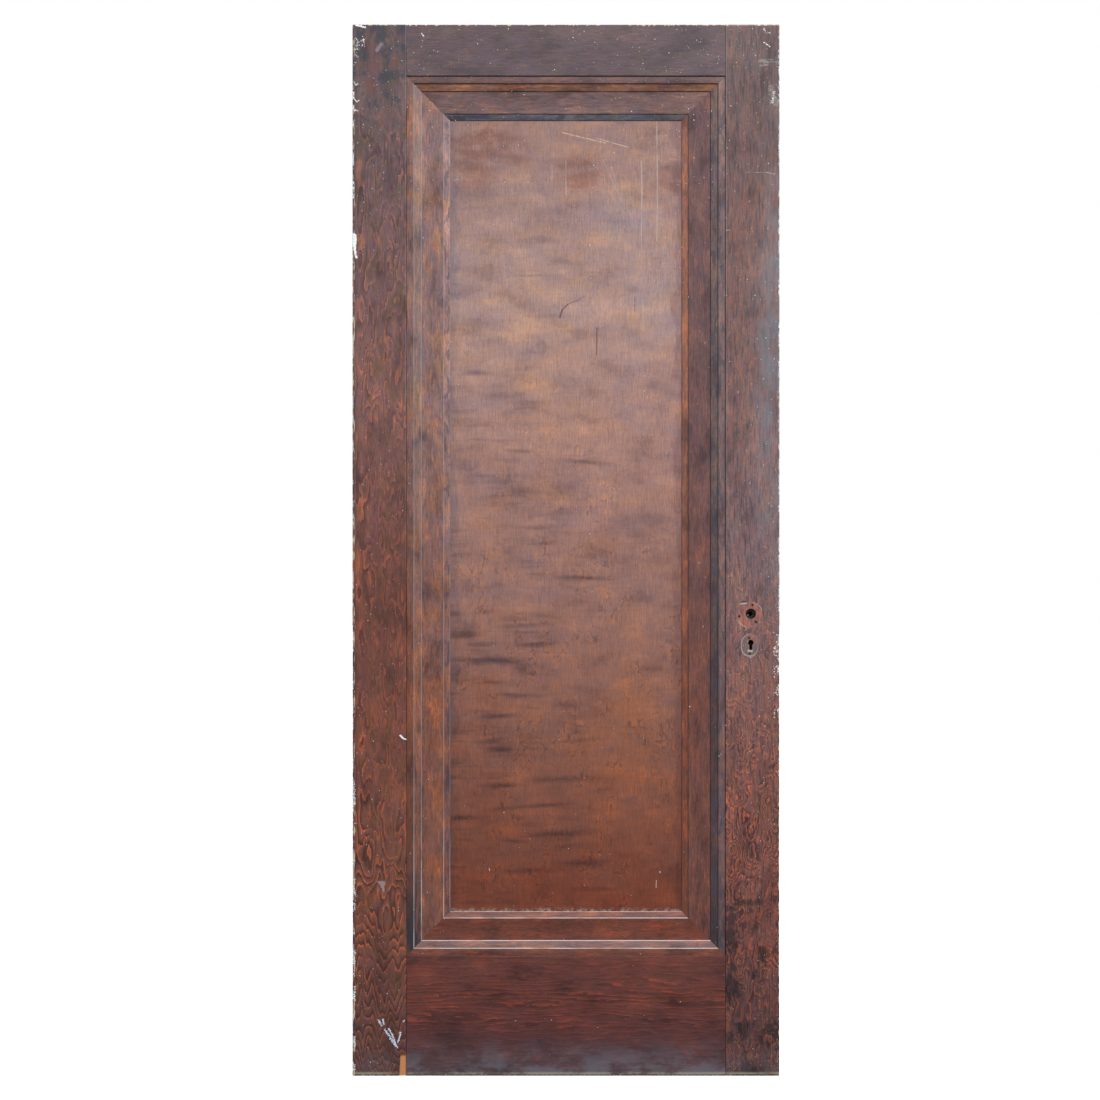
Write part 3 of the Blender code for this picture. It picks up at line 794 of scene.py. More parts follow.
def moulding_profile():
    """(across, up) points of the section, from the panel's face up, clockwise from the outer foot."""
    crest = PANEL_FRONT - FRONT - FACE_STEP
    bevel_foot = GAP + MOULDING_EDGE
    bevel_head = bevel_foot + BEVEL_DROP
    cove_head = bevel_head + BEVEL_RISER + COVE_DROP
    cove_start = FILLET_WIDTH + SLOPE_WIDTH
    cove_end = cove_start + COVE_WIDTH
    points = [(GAP, GAP), (GAP, crest), (FILLET_WIDTH, crest), (FILLET_WIDTH, crest - FILLET_RISER)]
    points.append((cove_start, cove_head + COVE_RISER))
    for step in range(COVE_STEPS + 1):
        t = step / COVE_STEPS
        points.append((cove_start + COVE_WIDTH * t, cove_head - COVE_DROP * math.sin(t * math.pi / 2)))
    points += [(cove_end, bevel_head), (MOULDING_WIDTH, bevel_foot), (MOULDING_WIDTH, GAP)]
    return eased(points)


def outline_object(name, points):
    """A closed line of edges through the points, in the XY plane."""
    mesh = bpy.data.meshes.new(name)
    count = len(points)
    edges = [(i, (i + 1) % count) for i in range(count)]
    mesh.from_pydata([(x, y, 0.0) for x, y in points], edges, [])
    return link(name, mesh)


def mitred_length_group():
    """A group that sweeps a section along one side of an opening and mitres both ends."""
    tree = Grower("mitred length", (
        ("Section", "Object"), ("Length", "Float"), ("Middle", "Vector"), ("Run", "Vector"),
        ("Inward", "Vector"), ("Outward", "Vector"), ("Seed", "Float"), ("Material", "Material")))
    given = tree.given
    section = tree.geometry("MeshToCurve", {"Mesh": tree.shape("Section")})
    x, y, _ = tree.split(tree.geometry("InputPosition"))
    section = tree.store(tree.store(section, "across", x), "up", y)
    count = given["Length"] / MOULDING_SPACING + 1.0
    line = tree.geometry("CurvePrimitiveLine", {"Start": (0, 0, 0), "End": (0, 0, 1)})
    line = tree.geometry("ResampleCurve", {"Curve": line, "Count": count})
    line = tree.store(line, "share", tree.geometry("SplineParameter") - 0.5)
    inputs = {"Curve": line, "Profile Curve": section, "Fill Caps": True}
    bar = tree.geometry("CurveToMesh", inputs)
    across = tree.stored("across")
    along = tree.stored("share") * (given["Length"] - across * 2.0 - GAP)
    spot = tree.join(along * WAVER_PITCH, given["Seed"], across)
    height = tree.stored("up") + (tree.noise(spot, 2.0) - 0.5) * WAVER
    point = given["Middle"]
    for way, distance in (("Run", along), ("Inward", across), ("Outward", height)):
        point = tree.vector("ADD", point, tree.scaled(given[way], distance))
    return tree.finish(tree.geometry("SetPosition", {"Geometry": bar, "Position": point}))


def moulding(name, group, section, side, front, material, seed):
    """One mitred length of the moulding, for a side of the opening and a face of the panel."""
    middle_x = (OPENING_LEFT + OPENING_RIGHT) / 2
    middle_z = (OPENING_BOTTOM + OPENING_TOP) / 2
    wide = OPENING_RIGHT - OPENING_LEFT
    tall = OPENING_TOP - OPENING_BOTTOM
    x, z, inward, run, length = {
        "top": (middle_x, OPENING_TOP, (0, 0, -1), (1, 0, 0), wide),
        "bottom": (middle_x, OPENING_BOTTOM, (0, 0, 1), (1, 0, 0), wide),
        "left": (OPENING_LEFT, middle_z, (1, 0, 0), (0, 0, 1), tall),
        "right": (OPENING_RIGHT, middle_z, (-1, 0, 0), (0, 0, 1), tall),
    }[side]
    face = PANEL_FRONT if front else PANEL_HIGH.y
    mesh = grown_mesh(name, group, {
        "Section": section, "Length": length, "Middle": (x, face, z), "Run": run, "Inward": inward,
        "Outward": (0, -1 if front else 1, 0), "Seed": seed, "Material": material})
    tidy_mesh(mesh)
    shade(mesh, MOULDING_SMOOTH_ANGLE)
    piece = link("swept_" + name, mesh)
    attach(piece, "root")
    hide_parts(name)
    return piece


# Paint laid on the surfaces

DAB_INPUTS = (("Carrier", "Object"), ("Seed", "Int"), ("Material", "Material"))


def lay_dabs(tree, points, size, stretch):
    """Low dabs on the carrier, straight behind the points; each is half sunk in the surface."""
    ray = tree.every("GeometryNodeRaycast", {
        "Target Geometry": tree.shape("Carrier"), "Source Position": tree.geometry("InputPosition"),
        "Ray Direction": (0.0, 1.0, 0.0), "Ray Length": RAY_LENGTH})
    hit = ray["Is Hit"]
    missed = tree.use("FunctionNodeBooleanMath", {0: hit}, operation="NOT")
    points = tree.store(points, "lean", ray["Hit Normal"], "FLOAT_VECTOR")
    points = tree.store(points, "missed", missed, "BOOLEAN")
    inputs = {"Geometry": points, "Selection": hit, "Position": ray["Hit Position"]}
    points = tree.geometry("SetPosition", inputs)
    points = tree.drop(points, tree.stored("missed", "BOOLEAN"))
    turn = tree.use("FunctionNodeAxisAngleToRotation", {
        "Axis": (0.0, 0.0, 1.0), "Angle": tree.random(0.0, math.pi)})
    lean = tree.stored("lean", "FLOAT_VECTOR")
    facing = tree.use("FunctionNodeAlignRotationToVector", {"Vector": lean}, axis="Z")
    facing = tree.use("FunctionNodeRotateRotation", {0: facing, 1: turn}, rotation_space="LOCAL")
    dab = tree.geometry("MeshUVSphere", {"Segments": 8, "Rings": 4, "Radius": 1.0})
    scale = tree.join(size * stretch, size, DAB_THICKNESS)
    return kept_inside(tree, tree.geometry("InstanceOnPoints", {
        "Points": points, "Instance": dab, "Rotation": facing, "Scale": scale}))


def kept_inside(tree, geometry):
    """The geometry, with whatever stands out of the door's box pressed back to it."""
    real = tree.geometry("RealizeInstances", {"Geometry": geometry})
    spot = tree.vector("MAXIMUM", tree.geometry("InputPosition"), LOW[:])
    inputs = {"Geometry": real, "Position": tree.vector("MINIMUM", spot, HIGH[:])}
    pressed = tree.geometry("SetPosition", inputs)
    return tree.geometry("MergeByDistance", {"Geometry": pressed, "Distance": MERGE_DISTANCE})


def fleck_group():
    """A group that scatters flecks over the front, thicker towards the door's edges."""
    tree = Grower("scattered flecks", (("Field", "Object"),) + DAB_INPUTS)
    points = tree.geometry("DistributePointsOnFaces", {
        "Mesh": tree.shape("Field"), "Density": FLECK_DENSITY, "Seed": tree.given["Seed"]})
    x, _, z = tree.split(tree.geometry("InputPosition"))
    from_middle = abs(x - WIDTH / 2)
    near_edge = (from_middle / (WIDTH / 2)) ** EDGE_CROWDING
    near_head = z.ease(LOW.z + HEAD_FLECKS, HIGH.z) * from_middle.ease(0.0, WIDTH / 2, 0.35, 1.0)
    keep = near_edge.at_least(MIDDLE_SHARE).at_least(near_head)
    points = tree.drop(points, tree.is_more(tree.random(0.0, 1.0, 1.0), keep))
    spread = LARGEST_FLECK - SMALLEST_FLECK
    size = tree.random(0.0, 1.0, 2.0) ** SMALLNESS * spread + SMALLEST_FLECK
    return tree.finish(lay_dabs(tree, points, size, tree.random(*FLECK_STRETCH, 3.0)))


def stroke_group():
    """A group that lays broken rows of dabs along drawn lines, each as wide as its line says."""
    tree = Grower("dabs along strokes", (
        ("Strokes", "Object"), ("Spacing", "Float"), ("Cover", "Float"),
        ("Size", "Float")) + DAB_INPUTS)
    lines = tree.geometry("MeshToCurve", {"Mesh": tree.shape("Strokes")})
    inputs = {"Curve": lines, "Length": tree.given["Spacing"]}
    points = tree.geometry("CurveToPoints", inputs, mode="LENGTH")
    width = tree.stored("width")
    side = tree.random(-1.0, 1.0, 1.0) * width
    rise = tree.random(-1.0, 1.0, 2.0) * width * STROKE_RISE
    points = tree.geometry("SetPosition", {
        "Geometry": points, "Offset": tree.join(side, 0.0, rise)})
    place = tree.geometry("InputPosition")
    patchy = tree.noise(place, 3.0, scale=GAPS_PER_METRE)
    points = tree.drop(points, tree.is_more(patchy, tree.given["Cover"]))
    size = tree.random(*DAB_SIZES, 3.0) * tree.given["Size"]
    return tree.finish(lay_dabs(tree, points, size, tree.random(*DAB_STRETCH, 4.0)))


def field_object():
    """A rectangle in front of the door, from which flecks fall back on it."""
    corners = [(LOW.x, LOW.z), (HIGH.x, LOW.z), (HIGH.x, HIGH.z), (LOW.x, HIGH.z)]
    return rectangle("field", [(x, FRONT - RAY_START, z) for x, z in corners])


def strokes_object(strokes):
    """The strokes as lines of edges in front of the door, with their width at each point."""
    points = []
    edges = []
    widths = []
    for width, line in strokes:
        for i, place in enumerate(line):
            x, height = metres(*place)
            if i:
                edges.append((len(points) - 1, len(points)))
            points.append((x, FRONT - RAY_START, LOW.z + height))
            widths.append(width * MM)
    mesh = bpy.data.meshes.new("strokes")
    mesh.from_pydata(points, edges, [])
    mesh.attributes.new("width", "FLOAT", "POINT").data.foreach_set("value", widths)
    return link("strokes", mesh)


def joined_copy(pieces):
    """One mesh of all the pieces, for the paint to lie on."""
    bm = bmesh.new()
    for piece in pieces:
        bm.from_mesh(piece.data)
    mesh = bpy.data.meshes.new("carrier")
    bm.to_mesh(mesh)
    bm.free()
    return link("carrier", mesh)


def paint_piece(name, group, values):
    mesh = grown_mesh(name, group, values)
    mesh.shade_smooth()
    piece = link(name, mesh)
    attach(piece, "root")
    return piece


# Materials


class Surface:
    """A material built up in layers: its colour, its roughness and its height in metres."""

    def __init__(self, name, along="Z"):
        self.material = bpy.data.materials.new(name)
        self.material.use_nodes = True
        self.material.node_tree.nodes.clear()
        self.tree = Tree(self.material.node_tree)
        self.place = self.tree.use("ShaderNodeTexCoord", output="Object")
        self.x, self.y, z = self.tree.split(self.place)
        self.high = z - LOW.z
        self.front = self.y < 0.0
        self.along = along
        self.colour = None
        self.rough = 0.4
        self.height = 0.0

    def noise(self, wide, tall, seed, detail=2.0, rough=0.5, place=None):
        """Soft noise with features wide by tall metres on the door's face."""
        deep = min(wide, tall)
        spot = self.tree.vector("MULTIPLY", place or self.place, (1 / wide, 1 / deep, 1 / tall))
        spot = self.tree.vector("ADD", spot, (seed * 3.17, seed * 1.31, seed * 5.71))
        return self.tree.noise(spot, detail, rough)

    def grain(self, across, along, *rest, **named):
        """Soft noise with features across by along the wood's grain."""
        wide, tall = (across, along) if self.along == "Z" else (along, across)
        return self.noise(wide, tall, *rest, **named)

    def lay(self, mask, colour, blend="MIX"):
        self.colour = self.tree.mix(mask, self.colour, colour, blend)

    def stain(self, mask, colour):
        """Multiply what lies below by the colour."""
        self.lay(mask, colour, "MULTIPLY")

    def mark(self, mask, colour, blend="MIX"):
        """Lay a colour on the front only."""
        self.lay(mask * self.front, colour, blend)

    def lift(self, mask, metres):
        """Raise the height by metres where the mask is 1."""
        self.height = mask * metres + self.height

    def dull(self, mask, roughness):
        """Bring the roughness to the given value where the mask is 1."""
        inputs = {0: mask, 2: self.rough, 3: roughness}
        self.rough = self.tree.use("ShaderNodeMix", inputs, 0, data_type="FLOAT")

    def patch(self, x, high, wide, tall):
        """A soft round mask, 1 in its middle."""
        apart = self.tree.length((self.x - x) / wide, (self.high - high) / tall)
        return apart.ease(1.0, 0.15)

    def stroke(self, start, end, half_width):
        """A mask along a straight mark from start to end, both (x, height), in millimetres."""
        tree = self.tree
        start, end = (Vector((*metres(*place), 0.0)) for place in (start, end))
        half_width *= MM
        run = end - start
        away = tree.vector("SUBTRACT", tree.join(self.x, self.high), start[:])
        share = tree.vector("DOT_PRODUCT", away, run[:], "Value") / run.length_squared
        nearest = tree.scaled(run[:], tree.use("ShaderNodeClamp", {0: share}))
        return tree.vector("DISTANCE", away, nearest, "Value").ease(half_width, half_width * 0.4)

    def draw(self, strokes, colour, broken=1.0):
        """Mark the front with strokes of (start, end, half width, strength), in millimetres."""
        for start, end, half_width, strength in strokes:
            self.mark(self.stroke(start, end, half_width) * strength * broken, colour)

    def finish(self):
        tree = self.tree
        bump = tree.use("ShaderNodeBump", {"Height": self.height, "Distance": 1.0}, "Normal")
        shader = tree.use("ShaderNodeBsdfPrincipled", {
            "Base Color": self.colour, "Roughness": self.rough, "Normal": bump}, "BSDF")
        tree.add("ShaderNodeOutputMaterial", {"Surface": shader})
        return self.material


def by_height(surface, stops):
    """A colour that changes with the height above the door's foot."""
    stops = [(high / HEIGHT, tint(*colour)) for high, colour in stops]
    # Up high the browns carry painted sky sheen as well as faded varnish
    return surface.tree.ramp(surface.high / HEIGHT, stops)


def growth_lines(surface, wood, course, loose):
    """Where a point lies between two growth lines, 0 to 1.

    The course counts the rings where the wood is straight. Where it is loose they wander and curl.
    """
    tree = surface.tree
    teeth = (surface.grain(0.0024, 0.03, wood.seed + 9) - 0.5) * (2 * wood.flame)
    run = (0, 0, 1) if wood.along == "Z" else (1, 0, 0)
    spot = tree.vector("ADD", surface.place, tree.scaled(run, teeth))
    phase = course
    for seed, (across, along, rings) in enumerate((wood.wander, wood.curl)):
        bend = surface.grain(across, along, wood.seed + seed, detail=1.0, place=spot)
        phase = bend * (loose * rings) + phase
    return tree.math("FRACT", phase)


def lay_figure(surface, wood, shown, course, loose):
    """The growth lines: a bright band and a dusky one in each ring, and rusty tongues."""
    turn = growth_lines(surface, wood, course, loose)
    patchy = surface.grain(0.02, 0.05, wood.seed + 2)
    strength = patchy.ease(0.34, 0.58, 0.25 * wood.figure, wood.figure) * shown
    bright = turn.ease(0.06, 0.14) * turn.ease(0.42, 0.16) * strength
    dusky = turn.ease(0.58, 0.98).at_least(turn.ease(0.12, 0.05))
    surface.stain(bright, RUSTY)
    surface.stain(bright * 0.35, BRIGHTER)
    surface.stain(dusky * strength * 0.72, DARKER)
    tongues = surface.grain(0.0018, 0.012, wood.seed + 13)
    surface.stain(tongues.ease(0.60, 0.72) * strength * 0.5, RUSTY)
    surface.lift(bright, 0.00002)


def figured_wood(surface, wood, brown, shown=1.0, course=0.0, loose=1.0):
    """Stained wood: growth lines where shown, tight where not loose, with fibres, pores and patches."""
    seed = wood.seed
    surface.colour = brown
    cloud = surface.grain(*wood.cloud_size, seed + 4, detail=5.0, rough=0.62)
    hue = surface.grain(0.025, 0.06, seed + 10, detail=3.0, rough=0.6)
    streak = surface.grain(0.0026, 0.032, seed + 12, detail=3.0, rough=0.6)
    fibre = surface.grain(0.0011, 0.02, seed + 3, detail=2.0, rough=0.6)
    for figure, start, end, strength, change in (
            (cloud, 0.50, 0.70, wood.cloud, DARKER),
            (cloud, 0.50, 0.32, 0.6 * wood.cloud, BRIGHTER),
            (hue, 0.50, 0.62, wood.hues, OLIVE),
            (hue, 0.46, 0.34, wood.hues, MAUVE),
            (streak, 0.50, 0.68, 2 * wood.streak, FIERY),
            (streak, 0.50, 0.30, wood.streak, DARKER),
            (fibre, 0.50, 0.75, wood.fibre, BRIGHTER),
            (fibre, 0.50, 0.25, 1.2 * wood.fibre, DARKER)):
        surface.stain(figure.ease(start, end, 0.0, strength), change)
    if wood.figure:
        lay_figure(surface, wood, shown, course, loose)
    speck = surface.grain(0.0014, 0.0035, seed + 11, detail=1.0)
    surface.stain(speck.ease(0.5, 0.8, 0.0, wood.fibre), DARKER)
    pored = surface.grain(0.0005, 0.007, seed + 5, detail=0.0).ease(0.66, 0.76)
    surface.stain(pored * 0.6, DARKER)
    surface.rough = surface.noise(0.05, 0.05, seed + 7, detail=3.0).ease(0.3, 0.7, 0.3, 0.46)
    surface.lift(fibre, 0.00003)
    surface.lift(pored, -0.00004)
    surface.lift(surface.noise(0.006, 0.006, seed + 8), 0.00004)


def lay_dust_at_foot(surface, seed, strength):
    """Grey dust on the lowest part of the door, and the pale worn line along its foot."""
    high = surface.high
    patchy = surface.noise(0.05, 0.03, seed, detail=5.0, rough=0.6)
    mask = high.ease(DUST_TOP, 0.0) * patchy.ease(0.38, 0.62, 0.15, 1.0) * strength
    surface.lay(mask, DUST)
    surface.dull(mask, 0.7)
    line = high.ease(0.009, 0.005) * high.ease(0.002, 0.004)
    surface.lay(line * patchy.ease(0.38, 0.56, 0.15, 1.0) * 0.65, FOOT_LINE)


def lay_worn_edge(surface, distance, seed, width=0.0035, colour=BARE_WOOD, spared=0.42, run=0.009):
    """Bare pale wood or thick paint where an edge, at the given distance, is rubbed."""
    ragged = surface.noise(0.004, run, seed, detail=4.0)
    bare = distance < ragged.ease(spared, spared + 0.3, 0.0, width)
    surface.lay(bare * 0.85, colour)
    surface.dull(bare, 0.75)
    surface.lift(bare, -0.0001)


def edge_distance(surface, ends=True, left=False, right=False):
    """Distance along the surface to the nearest arris of the door's named sides."""
    sides = [surface.high, HEIGHT - surface.high] if ends else []
    if left:
        sides.append(surface.x)
    if right:
        sides.append(WIDTH - surface.x)
    distance = sides[0]
    for side in sides[1:]:
        distance = distance.at_most(side)
    return distance.at_least((surface.y - FRONT).at_most(BACK - surface.y))


def lay_inner_highlight(surface, distance, reach, seed, strength, colour):
    """A pale broken painted highlight along the inner arris beside the panel's opening, on the upper
    half of a stile.
    """
    line = distance.ease(reach, reach - INNER_LINE_WIDTH) * surface.high.ease(*UPPER_HALF)
    broken = surface.noise(0.01, 0.05, seed, detail=3.0).ease(0.35, 0.6)
    surface.lay(line * broken * strength, colour)


def hinge_stile_material():
    surface = Surface("hinge_stile_wood")
    x, high = surface.x, surface.high
    # The figure is faint at the head, and strongest at the foot and beside the hinge edge
    shown = high.ease(1.78, 1.88, 1.0, 0.4) * high.ease(0.42, 0.62, 1.0, 0.6)
    shown = shown * x.ease(STRAIGHT_WIDTH, 0.02, 1.0, 1.4)
    loose = x.ease(0.004, 0.04, 0.4, 1.0) * high.ease(0.28, 0.42, 0.3, 1.0)
    brown = by_height(surface, HINGE_BROWN)
    figured_wood(surface, HINGE_WOOD, brown, shown, hinge_course(surface), loose)
    head = high.ease(*HEAD_ZONE)
    blotches = surface.noise(0.03, 0.04, 32.0, detail=5.0, rough=0.65)
    surface.lay(head * blotches.ease(0.5, 0.60) * 0.80, HEAD_SOOT)
    surface.lay(head * blotches.ease(0.48, 0.36) * 0.55, HEAD_RUST)
    broken = surface.noise(0.01, 0.08, 34.0, detail=3.0).ease(0.3, 0.55)
    surface.lay(x.ease(0.010, 0.001) * broken * 0.7, EDGE_GRIME)
    # A painted highlight along the inner arris
    lay_inner_highlight(surface, OPENING_LEFT - x, 0.0022, 36.0, 0.8, COOL_ARRIS_HIGHLIGHT)
    lay_dust_at_foot(surface, 30.0, 0.2)
    surface.draw(STILE_SMUDGES, PALE_MAUVE)
    surface.draw(STRIP_SMUDGES, PALE_STRIP)
    lay_triangle(surface)
    lay_worn_edge(surface, edge_distance(surface, left=True), 31.0)
    behind_front = surface.y - FRONT
    from_strip = abs(x - OLD_STRIP_X) / high.ease(0.98, 0.5, 0.35, 1.0)
    lay_worn_edge(surface, from_strip.at_least(behind_front), 35.0, 0.0034, OLD_PAINT, 0.46, 0.02)
    chip = behind_front.ease(0.0008, 0.0016) * surface.front
    chip = chip * (x > OPENING_LEFT - CHIP_WIDTH - 0.002) * (high < CHIP_HEIGHT + 0.003)
    splinters = surface.noise(0.0012, 0.02, 33.0)
    surface.lay(chip, surface.tree.mix(splinters, FRESH_WOOD, TORN_WOOD))
    surface.dull(chip, 0.8)
    return surface.finish()


def lay_triangle(surface):
    """A pale mauve smudge, a triangle that stands on its tip."""
    tip_x, tip_height = TRIANGLE_TIP
    up = (surface.high - tip_height) / TRIANGLE_HEIGHT
    middle = up * TRIANGLE_LEAN + tip_x
    ragged = surface.noise(0.004, 0.004, 38.0, detail=3.0).ease(0.3, 0.7, 0.7, 1.2)
    share = abs(surface.x - middle) / (up * ragged * TRIANGLE_HALF_WIDTH)
    mask = share.ease(1.1, 0.6) * up.ease(1.05, 0.9) * up.ease(0.0, 0.1)
    surface.mark(mask * 0.75, PALE_MAUVE)


def hinge_course(surface):
    """Straight rings at the outer edge, none in the middle, and ridges one above another at the foot."""
    within = (STRAIGHT_WIDTH - surface.x).at_least(0.0)
    straight = within * within / STRAIGHT_RATE
    peaks = surface.noise(0.020, 0.20, 37.0, detail=1.5)
    ridges = (peaks - 0.5) * RIDGE_PEAKS + (RIDGE_TOP - surface.high) / RIDGE_PITCH
    return surface.high.ease(0.40, 0.30) * ridges + straight


def lock_stile_material():
    surface = Surface("lock_stile_wood")
    x, high = surface.x, surface.high
    # The figure fades in two steps, below the lock and above it
    shown = high.ease(0.50, 0.75, 1.0, 0.5) * high.ease(0.85, 1.15, 1.0, 0.35)
    brown = by_height(surface, LOCK_BROWN)
    loose = high.ease(*UPPER_HALF, 1.0, 0.5)
    figured_wood(surface, LOCK_WOOD, brown, shown, x / LOCK_RING, loose)
    sooty = surface.noise(0.035, 0.04, 47.0, detail=4.0).ease(0.50, 0.62)
    surface.stain(sooty * high.ease(0.50, 0.28) * 0.95, SOOTY)
    # A painted highlight along the inner arris
    lay_inner_highlight(surface, x - OPENING_RIGHT, 0.0024, 48.0, 0.7, WARM_ARRIS_HIGHLIGHT)
    # Varnish haze with painted sky sheen, blue-grey, on the upper part near the lock edge
    haze_and_sheen = surface.patch(*HAZE_AND_SHEEN_PLACE)
    thick = surface.noise(0.03, 0.06, 40.0, detail=3.0).ease(0.3, 0.65)
    surface.mark(haze_and_sheen * thick * 0.65, BLUE_HAZE_AND_SHEEN)
    lay_dust_at_foot(surface, 41.0, 0.3)
    lay_lock_ghosts(surface)
    lay_lock_marks(surface)
    broken = surface.noise(0.012, 0.01, 49.0, detail=3.0).ease(0.4, 0.6, 0.1, 0.6)
    surface.draw(LOCK_DRIPS, DRIP, broken)
    cloudy = surface.noise(0.010, 0.005, 67.0, detail=4.0).ease(0.40, 0.58)
    surface.draw(LOCK_SMUDGES, GREY_SMUDGE, cloudy)
    lay_worn_edge(surface, edge_distance(surface), 43.0)
    rubbed = surface.tree.mix(high.ease(0.7, 1.2), BARE_WOOD, BLUE_RUB)
    lay_worn_edge(surface, edge_distance(surface, ends=False, right=True), 42.0, colour=rubbed)
    return surface.finish()


def lay_lock_ghosts(surface):
    """The clean wood that the rose and the key plate covered, with a pale broken rim."""
    tree = surface.tree
    face = surface.y < FRONT + FACE_DEPTH
    streaks = surface.noise(0.0026, 0.018, 44.0, detail=3.0).ease(0.38, 0.62)
    rosy = tree.mix(streaks, *ROSY_WOOD)
    grey = tree.mix(streaks, *GREY_WOOD)
    ragged = surface.noise(0.01, 0.01, 45.0).ease(0.3, 0.7, -0.03, 0.03)
    for high, wide, tall, inside in ((ROSE_HEIGHT, ROSE_DIAMETER, ROSE_DIAMETER, rosy),
                                     (PLATE_MIDDLE, PLATE_WIDTH, PLATE_HEIGHT, grey)):
        across = (surface.x - GHOST_X) / (wide / 2)
        up = (surface.high - high) / (tall / 2)
        ring = tree.length(across, up) + ragged
        within = ring.ease(0.98, 0.92) * face
        surface.lay(within * 0.72, inside)
        if inside is rosy:
            shown = (across * up).ease(0.15, 0.35, 0.05, 0.65)
        else:
            corner = across + up
            shown = corner.ease(1.0, -0.2, 0.25, 0.75)
            surface.lay(within * corner.ease(0.3, 1.0) * 0.75, rosy)
        thin = 2 * GHOST_RIM_WIDTH / wide
        surface.lay(abs(ring - 0.97).ease(thin, 0.3 * thin) * shown * face, GHOST_RIM)
        surface.lift(within, -0.00012)


def lay_lock_marks(surface):
    """The marks round the lock's holes with a painted shadow above the gouge, painted shade at their
    small screw and pin holes, and painted shade deep inside the holes.
    """
    face = surface.y < FRONT + FACE_DEPTH
    for start, end, half_width, colour, strength in LOCK_MARKS:
        surface.lay(surface.stroke(start, end, half_width) * strength * face, colour)
    for high, holes in ((KNOB_HEIGHT, ROSE_SCREWS), (KEY_HEIGHT, PLATE_PINS)):
        for across, up in holes:
            # Painted shade round each small screw and pin hole
            painted_hole_shade = surface.patch(KNOB_X + across, high + up, PIN_HOLE_REACH, PIN_HOLE_REACH)
            surface.mark(painted_hole_shade * 0.95, HOLE_SHADE)
    # Painted shade deep inside the knob hole and the keyhole
    near = surface.patch(KNOB_X, (KNOB_HEIGHT + KEY_HEIGHT) / 2, *LOCK_REACH)
    inside = (abs(surface.y) < BACK - HOLE_DEPTH) * (near > 0.05)
    surface.lay(inside, HOLE_SHADE)
    surface.dull(inside, 0.85)


def rail_material(name, wood, brown, seed, dusty=False):
    surface = Surface(name, along="X")
    shown = abs(surface.high - RAIL_FIGURE_HEIGHT).ease(0.06, 0.03, 0.5, 1.0)
    figured_wood(surface, wood, by_height(surface, brown), shown, surface.high / RAIL_RING)
    if dusty:
        lay_dust_at_foot(surface, seed, 0.7)
    lay_worn_edge(surface, edge_distance(surface), seed + 1)
    return surface.finish()


def panel_material():
    surface = Surface("panel_wood")
    x, high = surface.x, surface.high
    figured_wood(surface, PANEL_WOOD, by_height(surface, PANEL_BROWN))
    warmth = surface.noise(0.09, 0.045, 68.0, detail=4.0, rough=0.55)
    surface.stain(warmth.ease(0.5, 0.66, 0.0, 0.7), WARM)
    surface.stain(warmth.ease(0.5, 0.34, 0.0, 0.9), COOL)
    lay_panel_patches(surface)
    lay_contours(surface)
    # Broad ripples, mostly on the left and below
    ripple = surface.noise(0.10, 0.014, 50.0, detail=3.0).ease(0.48, 0.7)
    room = surface.noise(0.11, 0.16, 51.0).ease(0.4, 0.6)
    sides = high.ease(1.5, 0.7, 0.3, 1.0) * x.ease(0.50, 0.34, 0.25, 1.0)
    surface.mark(ripple * room * sides * 0.6, SMUDGE, "MULTIPLY")
    lay_panel_smudges(surface)
    wavy = surface.noise(0.03, 0.05, 53.0, detail=3.0).ease(0.3, 0.7, -BAND_WAVE, BAND_WAVE)
    from_left = x - (OPENING_LEFT + MOULDING_WIDTH)
    from_right = (OPENING_RIGHT - MOULDING_WIDTH) - x
    surface.stain((from_left + wavy).ease(*SIDE_BAND), BLUISH)
    surface.stain((from_right + wavy).ease(*SIDE_BAND) * 0.9, SHADED)
    surface.draw(PANEL_DRIPS, DRIP, surface.noise(0.01, 0.05, 54.0).ease(0.3, 0.55, 0.2, 1.0))
    broken = surface.noise(0.006, 0.006, 55.0, detail=3.0).ease(0.35, 0.55, 0.3, 1.0)
    surface.draw(PANEL_SCRATCHES, BARE_WOOD, broken)
    surface.draw(PANEL_BRUISES, BRUISE)
    fuzz = surface.noise(0.007, 0.006, 56.0, detail=4.0, rough=0.7).ease(0.42, 0.66)
    from_foot = high - (OPENING_BOTTOM - LOW.z + MOULDING_WIDTH)
    surface.lay(from_foot.ease(0.010, 0.0) * fuzz * 0.7, FRINGE)
    return surface.finish()


def lay_panel_patches(surface):
    """The panel's broad soft patches, with loose edges."""
    edge = surface.noise(0.05, 0.022, 69.0, detail=4.0, rough=0.6).ease(0.3, 0.7, 0.15, 1.0)
    for *place, colour, strength in PANEL_PATCHES:
        x, high, wide, tall = metres(*place)
        mask = surface.patch(x, high, 1.2 * wide, 1.2 * tall) * edge
        surface.mark(mask.ease(0.0, 0.8) * strength, colour, "MULTIPLY")


def lay_panel_smudges(surface):
    """Long dark smudges, which lean a little and fade at their ends."""
    ragged = surface.noise(0.012, 0.004, 52.0, detail=4.0, rough=0.6).ease(0.3, 0.7, 0.7, 1.2)
    for *place, strength in PANEL_SMUDGES:
        x, high, half_length, half_height, rise = metres(*place)
        along = (surface.x - x) / (1.3 * half_length)
        level = along * -rise + (surface.high - high)
        apart = surface.tree.length(along, level / half_height)
        mask = apart.ease(1.35, 0.0) * ragged * (0.85 * strength)
        surface.mark(mask, SMUDGE, "MULTIPLY")


